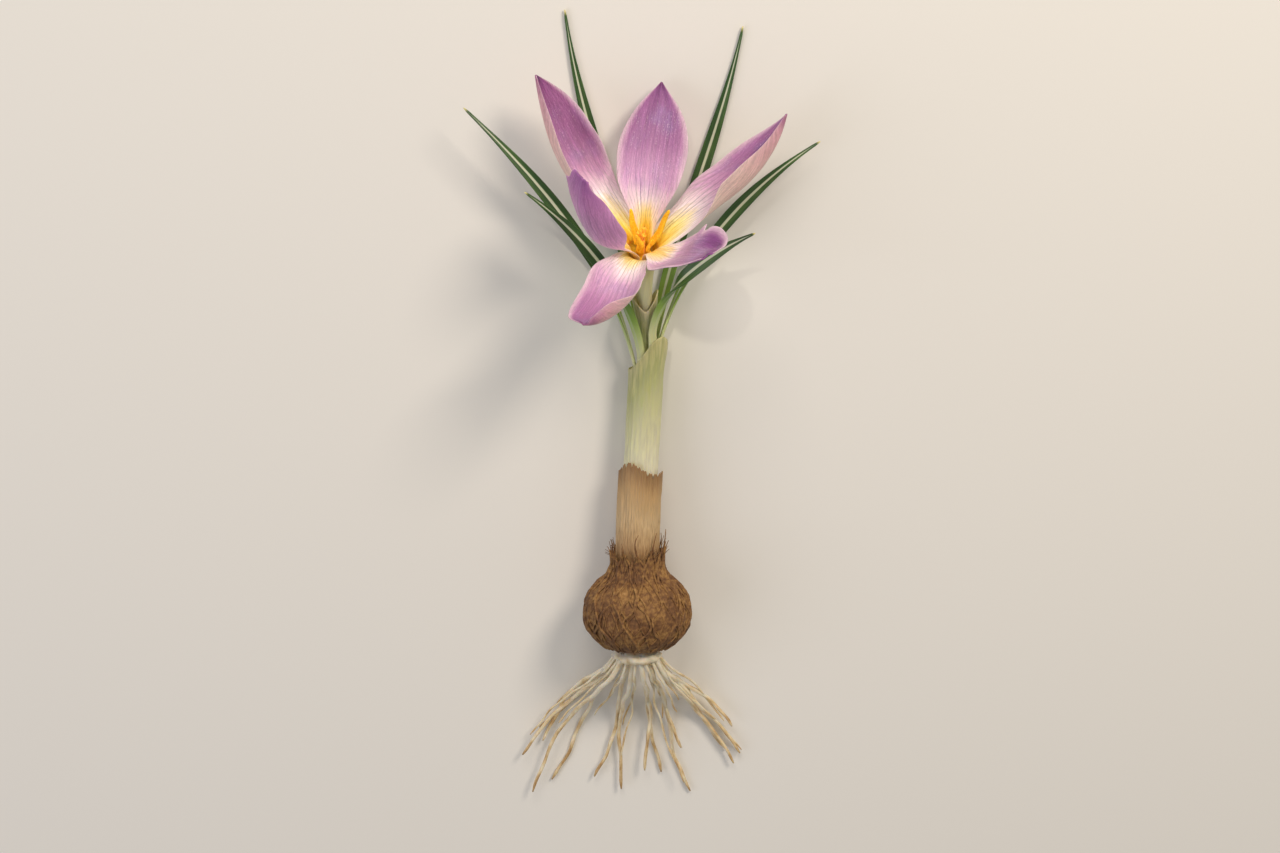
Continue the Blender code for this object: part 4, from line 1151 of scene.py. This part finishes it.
# %% The veins of the petals
def petal_veins(tree, across, along, away, streaks, clouds):
    """(vein, lane): how strong a vein is at each place, and how far off the nearest main vein runs."""
    # One vein, with its own strength, runs in each lane across the blade. Finer ones start further up.
    sway = add(tree, "MapRange", {0: clouds, 1: 0.2, 2: 0.8, 3: -0.07, 4: 0.07}).outputs[0]
    led = add(tree, "Math", {0: across, 1: sway}, operation="ADD").outputs[0]
    forks = add(tree, "MapRange", {0: along, 1: 0.3, 2: 0.6, 3: 0.0, 4: 0.6}).outputs[0]
    layers, lanes = [], []
    for count, width, strength in ((VEINS, 0.2, 1.0), (2 * VEINS, 0.22, forks)):
        scaled = add(tree, "Math", {0: led, 1: count}, operation="MULTIPLY").outputs[0]
        near = add(tree, "Math", {0: scaled, 1: 0.5}, operation="PINGPONG").outputs[0]
        line = add(tree, "MapRange", {0: near, 1: 0.0, 2: width, 3: 1.0, 4: 0.0}, **SOFT).outputs[0]
        whole = add(tree, "Math", {0: scaled}, operation="ROUND").outputs[0]
        chance = add(tree, "TexWhiteNoise", {"W": whole}, noise_dimensions="1D").outputs["Value"]
        own = add(tree, "MapRange", {0: chance, 3: 0.35, 4: 1.0}).outputs[0]
        for limit in (own, strength):
            line = add(tree, "Math", {0: line, 1: limit}, operation="MULTIPLY").outputs[0]
        layers.append(line)
        lanes.append(near)
    vein = add(tree, "Math", {0: layers[0], 1: layers[1]}, operation="MAXIMUM").outputs[0]
    broken = add(tree, "MapRange", {0: streaks, 1: 0.3, 2: 0.6, 3: 0.4, 4: 1.0}).outputs[0]
    central = add(tree, "MapRange", {0: away, 1: 0.95, 2: 0.6}).outputs[0]
    for limit in (broken, central):
        vein = add(tree, "Math", {0: vein, 1: limit}, operation="MULTIPLY").outputs[0]
    return vein, lanes[0]


print("main veins across a tepal:", 2 * int(VEINS) + 1)

# %% The papillae of the petals
PAPILLA_MM = (0.22, 0.42)


def petal_papillae(tree, along, lay, clouds, lane, in_hollow_shade):
    """(cones, painted_glint): the papillae as a relief, and as painted highlights, bright specks that keep to
    the lanes between the veins.
    """
    sizes = (1 / PAPILLA_MM[0], 1 / PAPILLA_MM[1], 1.0)
    cells = add(tree, "VectorMath", {0: lay, 1: sizes}, operation="MULTIPLY").outputs[0]
    papillae = add(tree, "TexVoronoi", {"Vector": cells, "Scale": 1.0}).outputs
    cones = add(tree, "MapRange", {0: papillae["Distance"], 1: 0.1, 2: 0.5, 3: 1.0, 4: 0.0}).outputs[0]
    chosen = add(tree, "SeparateColor", {0: papillae["Color"]}).outputs[0]
    # The painted glints keep to the lanes, the middle of the length and the clouds, and fade in the painted
    # hollow shade.
    limits = [
        (chosen, 0.1, 0.95), (clouds, 0.32, 0.6), (lane, 0.1, 0.4),
        (along, 0.2, 0.45), (along, 1.0, 0.75), (in_hollow_shade, 0.8, 0.1),
    ]
    painted_glint = cones
    for value, none, full in limits:
        limit = add(tree, "MapRange", {0: value, 1: none, 2: full}).outputs[0]
        painted_glint = add(tree, "Math", {0: painted_glint, 1: limit}, operation="MULTIPLY").outputs[0]
    return cones, painted_glint


print("papillae are drawn", PAPILLA_MM[0], "mm wide and", PAPILLA_MM[1], "mm long")

# %% Petal tissue
VEIN_STOPS = [
    (0.0, "#d08a18"), (0.1, "#84702f"), (0.2, "#4d484a"),
    (0.34, "#6d5884"), (0.5, "#8c6298"), (1.0, "#6a3a78"),
]


def petal_tissue(name, inside_stops, outside_stops, outside_veins, hollow_shade=0.0):
    """Petal: soft and matt, it lets light through and has a faint velvet sheen and painted glints from its
    papillae.
    """
    light = dict(Subsurface_Weight=0.5, Subsurface_Radius=(1.0, 0.7, 0.85), Subsurface_Scale=0.0012)
    velvet = dict(Sheen_Weight=0.12, Sheen_Roughness=0.4)
    material, tree, shader = new_material(name, Roughness=0.5, IOR=1.4, **light, **velvet)
    across, along, face, lay = part_place(tree)
    away = add(tree, "Math", {0: across}, operation="ABSOLUTE").outputs[0]
    streaks = stretched_noise(tree, lay, 0.5, 7.0)
    clouds = stretched_noise(tree, lay, 4.0, 7.0, detail=2.0)
    inside, outside, in_hollow_shade = petal_ground(
        tree, across, along, away, streaks, clouds, inside_stops, outside_stops, hollow_shade
    )
    vein, lane = petal_veins(tree, across, along, away, streaks, clouds)
    cones, painted_glint = petal_papillae(tree, along, lay, clouds, lane, in_hollow_shade)

    # The veins are strongest in the pale part of the inside, and outside as strong as the whorl has them.
    vein_colour = add(tree, "ValToRGB", {"Fac": along}, stops=VEIN_STOPS).outputs["Color"]
    rising = add(tree, "MapRange", {0: along, 1: 0.02, 2: 0.13}).outputs[0]
    falling = add(tree, "MapRange", {0: along, 1: 0.26, 2: 0.5, 3: 0.9, 4: 0.42}).outputs[0]
    show = add(tree, "Math", {0: rising, 1: falling}, operation="MULTIPLY").outputs[0]
    faces = []
    for ground, strength in ((inside, show), (outside, outside_veins)):
        weight = add(tree, "Math", {0: vein, 1: strength}, operation="MULTIPLY").outputs[0]
        faces.append(add(tree, "Mix", {0: weight, 6: ground, 7: vein_colour}, **COLOURS).outputs[2])
    colour = add(tree, "Mix", {0: face, 6: faces[0], 7: faces[1]}, **COLOURS).outputs[2]

    # Streaks, fine lines and grain shade both faces, and the papillae come last, with their glints painted in
    # as highlights.
    lines = stretched_noise(tree, lay, 0.2, 9.0, detail=2.0)
    grain = stretched_noise(tree, lay, 0.14, 0.9, detail=2.0)
    for noise, depth in ((streaks, 0.22), (lines, 0.16), (grain, 0.14)):
        shade = add(tree, "MapRange", {0: noise, 1: 0.25, 2: 0.75, 3: 1 - depth, 4: 1 + depth}).outputs[0]
        colour = add(tree, "VectorMath", {0: colour, "Scale": shade}, operation="SCALE").outputs[0]
    # Painted highlight: near-white specks where the papillae would glint, much stronger on the inside face
    # than outside.
    upper = add(tree, "MapRange", {0: face, 3: 0.62, 4: 0.12}).outputs[0]
    shown = add(tree, "Math", {0: painted_glint, 1: upper}, operation="MULTIPLY").outputs[0]
    colour = add(tree, "Mix", {0: shown, 6: colour, 7: linear("#fbe6ee")}, **COLOURS).outputs[2]
    rough = add(tree, "MapRange", {0: painted_glint, 3: 0.55, 4: 0.3}).outputs[0]
    tree.links.new(rough, shader.inputs["Roughness"])
    height = add(tree, "Math", {0: vein, 1: -0.5, 2: cones}, operation="MULTIPLY_ADD").outputs[0]
    finish_surface(tree, shader, colour, height, 0.55, 0.07)
    return material


# %% The six tepals
OUTER_INSIDE = [
    (0.0, "#ffc02a"), (0.09, "#ffd550"), (0.18, "#fde9a4"), (0.28, "#f9e8ee"),
    (0.42, "#d1a8c8"), (0.58, "#b584af"), (0.84, "#a66fa0"), (0.93, "#955b92"), (1.0, "#6b376e"),
]
OUTER_OUTSIDE = [
    (0.0, "#f9f0b0"), (0.12, "#f7edc2"), (0.3, "#eed3c3"),
    (0.7, "#e6bdb9"), (0.92, "#d2a0ac"), (1.0, "#a2708f"),
]
INNER_INSIDE = [
    (0.0, "#ffc02a"), (0.12, "#ffd550"), (0.21, "#fde9a4"), (0.31, "#f9e8ee"),
    (0.43, "#cca2c6"), (0.6, "#ab7aa6"), (0.86, "#9c6699"), (0.94, "#8b558b"), (1.0, "#67356b"),
]
HOODED_INSIDE = [(0.0, "#ffb822"), (0.17, "#ffc43c"), (0.27, "#fad88c"), (0.37, "#f2dbe0"), *INNER_INSIDE[4:]]
INNER_OUTSIDE = [
    (0.0, "#f1e2a0"), (0.2, "#ead6ae"), (0.34, "#dcbdca"),
    (0.5, "#c49abd"), (0.8, "#b682b1"), (1.0, "#8c5892"),
]

PETALS = {
    "outer": petal_tissue("petal_outer_whorl", OUTER_INSIDE, OUTER_OUTSIDE, 0.12),
    "inner": petal_tissue("petal_inner_whorl", INNER_INSIDE, INNER_OUTSIDE, 0.6),
}
# The hooded tepal's petal material darkens its hollow with painted shade.
HOODED_PETAL = petal_tissue("petal_hood_painted_shade", HOODED_INSIDE, INNER_OUTSIDE, 0.6, hollow_shade=1.0)
for number, (name, shape) in enumerate(TEPALS.items(), start=1):
    whorl = shape["whorl"]
    material = HOODED_PETAL if shape["outline"] == "hooded" else PETALS[whorl]
    plant_part(f"{name}_blade", [tepal_grid(number, **shape)], material, f"{whorl}_lilac", name)

# %% [markdown]
# ## Stamens and style
#
# Three stamens stand in the throat. A stamen is a short filament with a long anther, two pollen sacs side
# by side with a furrow between them, dusted with orange-yellow grains. The style between them ends in three
# short branches with frilled ends. They could be plain rods at this size, but they are the brightest spot
# of the flower, so the sacs, the furrow and the grain of the pollen are real relief. Pollen is a dry
# powder, so its finish is matt. Its grains are a twentieth of a millimetre wide, and are drawn three times
# as coarse.

# %% Stamens
# Each stamen: its place round the throat and its lean from the flower's axis in degrees, and its length.
STAMENS = [(24, 25, 10.1), (132, 17, 9.0), (250, 16, 8.5)]
ANTHER_LENGTH, ANTHER_WIDTH, ANTHER_DEPTH = 8.0, 1.4, 0.92
ANTHER_WIDE = [
    (0, 0.4), (0.06, 0.86), (0.18, 1.04), (0.4, 1.0), (0.7, 0.8), (0.9, 0.58), (0.97, 0.4), (1, 0.06)
]
ANTHER_DEEP = [(0, 0.35), (0.08, 0.85), (0.4, 1.0), (0.8, 0.85), (0.96, 0.5), (1, 0.08)]
ANTHER_ROWS, ANTHER_SIDES = 90, 36
FILAMENT_RADII, FILAMENT_POINTS, FILAMENT_SIDES = (0.46, 0.38), 30, 14
POLLEN_RELIEF = 0.012


def filament_grid(number, start, way, outward, bare):
    """The stalk of a stamen, from inside the tube up into the foot of its anther."""
    foot = start - FLOWER_AXIS * 2.6 + outward * 0.9
    knots = [foot, start - FLOWER_AXIS * 1.1 + outward * 0.4, start, start + way * (bare + 1.5)]
    points = curve_through(knots, FILAMENT_POINTS)
    grid = tube_grid(points, np.linspace(*FILAMENT_RADII, FILAMENT_POINTS), FILAMENT_SIDES, seed=number)
    mark_under_face(grid, 0)
    return grid


def anther_grid(number, start, way, side, length):
    """Two pollen sacs with furrows between them, a little bowed and twisted, and grainy all over."""
    depth = np.cross(side, way)
    t = np.linspace(0, 1, ANTHER_ROWS)[:, None]
    turns = full_circle(ANTHER_SIDES)[None]
    wide = ANTHER_WIDTH / 2 * read_off(ANTHER_WIDE, t)
    deep = ANTHER_DEPTH / 2 * read_off(ANTHER_DEEP, t)
    furrow = 1 - 0.5 * np.exp(-((np.cos(turns) / 0.2) ** 2)) * smooth(t / 0.08) * (1 - rise(t, 0.88, 0.1))
    bow = 0.3 * np.sin(math.pi * t) * math.cos(2.4 * number) + 0.12 * np.sin(3 * math.pi * t + number)
    dip = 0.14 * np.sin(math.pi * 1.5 * t) * math.sin(number + 1)
    centre = (start + way * length * t + bow * side + dip * depth)[:, None]
    x = wide * np.cos(turns) * (1 + 0.05 * np.sin(9 * t + number))
    y = deep * np.sin(turns) * furrow
    twist = 0.5 * (t - 0.5) * math.cos(1.7 * number)
    x, y = x * np.cos(twist) - y * np.sin(twist), x * np.sin(twist) + y * np.cos(twist)
    rings = centre + x[..., None] * side + y[..., None] * depth
    grainy = POLLEN_RELIEF * (ripple(rings, 0.6, 70 + number) + ripple(rings, 0.3, 80 + number))
    rings = rings + (grainy * np.minimum(1, 12 * t * (1 - t)))[..., None] * unit(rings - centre)
    return lathe_grid(rings, t[:, 0] * ANTHER_LENGTH, wide[:, 0] + 0.01, seed=20.0 + number)


def stamen_grids(number, place, lean, length):
    outward = flower_outward(place)
    way = FLOWER_AXIS * math.cos(math.radians(lean)) + outward * math.sin(math.radians(lean))
    start = THROAT + outward * 0.95 - FLOWER_AXIS * 0.2
    bare = min(length - ANTHER_LENGTH, 0.9)
    anther = anther_grid(number, start + way * bare, way, unit(np.cross(way, outward)), length - bare)
    return [filament_grid(number, start, way, outward, bare), anther]


print("stamens:", *(f"{length} mm" for _, _, length in STAMENS))

# %% Pollen and filament
def pollen_dust():
    """Pollen: matt and orange yellow. The filament, marked by the face value, has one plain yellow."""
    light = dict(Subsurface_Weight=0.15, Subsurface_Radius=(1.0, 0.8, 0.3), Subsurface_Scale=0.0004)
    material, tree, shader = new_material("pollen_grains", Roughness=0.85, IOR=1.45, **light)
    _, _, face, _ = part_place(tree)
    place = add(tree, "TexCoord").outputs["Object"]
    grains = add(tree, "TexVoronoi", {"Vector": place, "Scale": 7000.0})
    shades = add(tree, "TexNoise", {"Vector": place, "Scale": 3200.0, "Detail": 2.0})
    stops = [(0.3, "#ffb414"), (0.5, "#ffc626"), (0.7, "#ffd640")]
    dusty = add(tree, "ValToRGB", {"Fac": shades.outputs["Fac"]}, stops=stops)
    colour = add(tree, "Mix", {0: face, 6: dusty.outputs["Color"], 7: linear("#ffcc38")}, **COLOURS)
    finish_surface(tree, shader, colour.outputs[2], grains.outputs["Distance"], 0.6, 0.06)
    return material


POLLEN = pollen_dust()
for number, stamen in enumerate(STAMENS, start=1):
    grids = stamen_grids(number, *stamen)
    plant_part(f"stamen_with_pollen_{number}", grids, POLLEN, "pollen_yellow", f"stamen_{number}")

# %% [markdown]
# ### The style
#
# The style comes up from far down in the tube as a thread and parts in three. Each branch widens towards
# its end like a small frilled trumpet, which is where pollen lands.

# %% Style
STYLE_LENGTH, STIGMA_LENGTH, STIGMA_PLACES = 5.6, 2.6, (76, 190, 284)
STYLE_RADII, STYLE_POINTS, STYLE_SIDES = (0.28, 0.42), 40, 16
STIGMA_POINTS, STIGMA_SIDES = 26, 30
# The mouth of a stigma: shares of its last ring and how far they lie inside it.
STIGMA_MOUTH = [(0.7, 0.12), (0.1, 0.35)]


def stigma_grid(number, place, fork):
    """One branch of the style, with a frilled and hollow end."""
    outward = flower_outward(place)
    t = np.linspace(0, 1, STIGMA_POINTS)
    up, out = (STIGMA_LENGTH * t - 0.25)[:, None], (0.1 + 0.75 * t**1.6)[:, None]
    points = fork + FLOWER_AXIS * up + outward * out
    radii = 0.22 + 0.16 * t**2
    rings = tube_grid(points, radii, STIGMA_SIDES)[0] - points[:, None]
    frill = 1 + 0.2 * rise(t, 0.6, 0.4)[:, None] * np.cos(6 * full_circle(STIGMA_SIDES) + number)
    rings = points[:, None] + rings * frill[..., None]
    end, way = points[-1], unit(points[-1] - points[-2])
    mouth = [end + (rings[-1] - end) * share - way * sunk for share, sunk in STIGMA_MOUTH]
    along = np.r_[t, 1.02, 1.04] * STIGMA_LENGTH
    return lathe_grid(np.concatenate([rings, mouth]), along, np.r_[radii, 0.4, 0.1], seed=30.0 + number)


def style_grids():
    fork = THROAT + FLOWER_AXIS * (STYLE_LENGTH - STIGMA_LENGTH)
    low, middle = shoot_frame(TUBE_FLOOR + 1.0)[0], shoot_frame(SHOOT_LENGTH - 6.0)[0]
    thread = curve_through([low, middle, THROAT - 1.5 * FLOWER_AXIS, fork], STYLE_POINTS)
    grids = [tube_grid(thread, np.linspace(*STYLE_RADII, STYLE_POINTS), STYLE_SIDES)]
    return grids + [stigma_grid(number, place, fork) for number, place in enumerate(STIGMA_PLACES)]


print("the style parts in", len(STIGMA_PLACES), "branches of", STIGMA_LENGTH, "mm")

# %% Velvet of the stigma
def stigma_tissue():
    """Stigma: orange yellow, moist and finely velvety."""
    light = dict(Subsurface_Weight=0.25, Subsurface_Radius=(1.0, 0.7, 0.25), Subsurface_Scale=0.0004)
    material, tree, shader = new_material("stigma_velvet", Roughness=0.6, IOR=1.4, Sheen_Weight=0.2, **light)
    place = add(tree, "TexCoord").outputs["Object"]
    shades = add(tree, "TexNoise", {"Vector": place, "Scale": 2200.0, "Detail": 3.0}).outputs["Fac"]
    stops = [(0.3, "#fca41c"), (0.55, "#ffb62e"), (0.75, "#ffc84c")]
    orange = add(tree, "ValToRGB", {"Fac": shades}, stops=stops)
    finish_surface(tree, shader, orange.outputs["Color"], shades, 0.4, 0.08)
    return material


plant_part("style_and_stigma", style_grids(), stigma_tissue(), "stigma_orange", "style")

# %% [markdown]
# ## Table, light and camera
#
# The plant lies on a plain pale table. One large soft lamp stands to the right and towards the flower's
# tip, as the sun does in the photograph. A weak one fills the shadows from the left, another lights the
# tips of the petals, and a soft narrow spot reaches down into the throat, where sunlight shines through the
# thin petals. The camera looks down on the lying plant, tilted by the same nineteen degrees from which the
# photograph looks down on the upright flower.

# %% Stage
TABLE_REACH = 3.0
table_card = new_material("studio_card_matt", Roughness=0.9, Base_Color=linear("#ecebe7"))[0]
corners = [(x * TABLE_REACH, y * TABLE_REACH, 0) for x, y in ((-1, -1), (1, -1), (1, 1), (-1, 1))]
card = bpy.data.meshes.new("studio_table")
card.from_pydata(corners, [], [(0, 1, 2, 3)])
card.materials.append(table_card)
table = new_object("studio_table", card)
table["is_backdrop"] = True
print("the table reaches", TABLE_REACH, "m each way")

world = bpy.data.worlds.new("studio_air")
world.use_nodes = True
air = world.node_tree.nodes["Background"]
air.inputs["Color"].default_value = linear("#f2efe9")
air.inputs["Strength"].default_value = 0.3
bpy.context.scene.world = world
bpy.context.scene.view_settings.view_transform = "Standard"

# %% Lamps
FLOWER_MIDDLE = (0.0, 0.08, 0.012)
# Each large lamp: where it stands in metres, its power in watts, its colour and its width in metres.
LARGE_LAMPS = {
    "key_lamp": ((0.3, 0.46, 0.44), 2.35, "#ffefdc", 0.2),
    "fill_lamp": ((-0.5, -0.02, 0.42), 0.9, "#f7f4ff", 0.5),
    "tip_lamp": ((-0.06, 0.52, 0.4), 1.1, "#fff6ea", 0.3),
}
SPOT_CONE = dict(spot_size=math.radians(4.5), spot_blend=1.0, shadow_soft_size=0.012)


def new_lamp(name, kind, place, target, watts, code, **settings):
    lamp = bpy.data.lights.new(name, kind)
    lamp.energy, lamp.color = watts, linear(code)[:3]
    for key, value in settings.items():
        setattr(lamp, key, value)
    holder = new_object(name, lamp)
    holder.location = place
    holder.rotation_euler = (Vector(target) - Vector(place)).to_track_quat("-Z", "Y").to_euler()
    print(name, "gives", watts, "W")


for name, (place, watts, code, width) in LARGE_LAMPS.items():
    new_lamp(name, "AREA", place, FLOWER_MIDDLE, watts, code, shape="DISK", size=width)
new_lamp("throat_spot", "SPOT", (-0.06, 0.33, 0.4), Vector(THROAT) * MM, 3.6, "#fff4e0", **SPOT_CONE)

# %% Camera
PHOTO_TILT = math.radians(19)
CAMERA_DISTANCE, LENS, SENSOR = 0.56, 85.0, 36.0
toward = Vector((0, math.sin(PHOTO_TILT), math.cos(PHOTO_TILT)))
aim = Vector((0.0005, 0.0365, 0.008))
camera_data = bpy.data.cameras.new("photo_view")
camera_data.lens, camera_data.sensor_width = LENS, SENSOR
camera = new_object("photo_view", camera_data)
camera.location = aim + toward * CAMERA_DISTANCE
screen_right, screen_up = Vector((1, 0, 0)), Vector((0, math.cos(PHOTO_TILT), -math.sin(PHOTO_TILT)))
camera.rotation_euler = Matrix((screen_right, screen_up, toward)).transposed().to_euler()
bpy.context.scene.camera = camera
print("the camera stands", CAMERA_DISTANCE, "m away")

# %% [markdown]
# ## Sizes
#
# The finished plant is meant to fill the same box as the imported solids. Both boxes are printed
# axis by axis.

# %% Write the sizes and finish
low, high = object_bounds()
for axis, a, b, c, d in zip("xyz", cad_low, cad_high, low, high):
    print(axis, "packed", round(a / MM, 2), round(b / MM, 2), "visual", round(c / MM, 2), round(d / MM, 2))
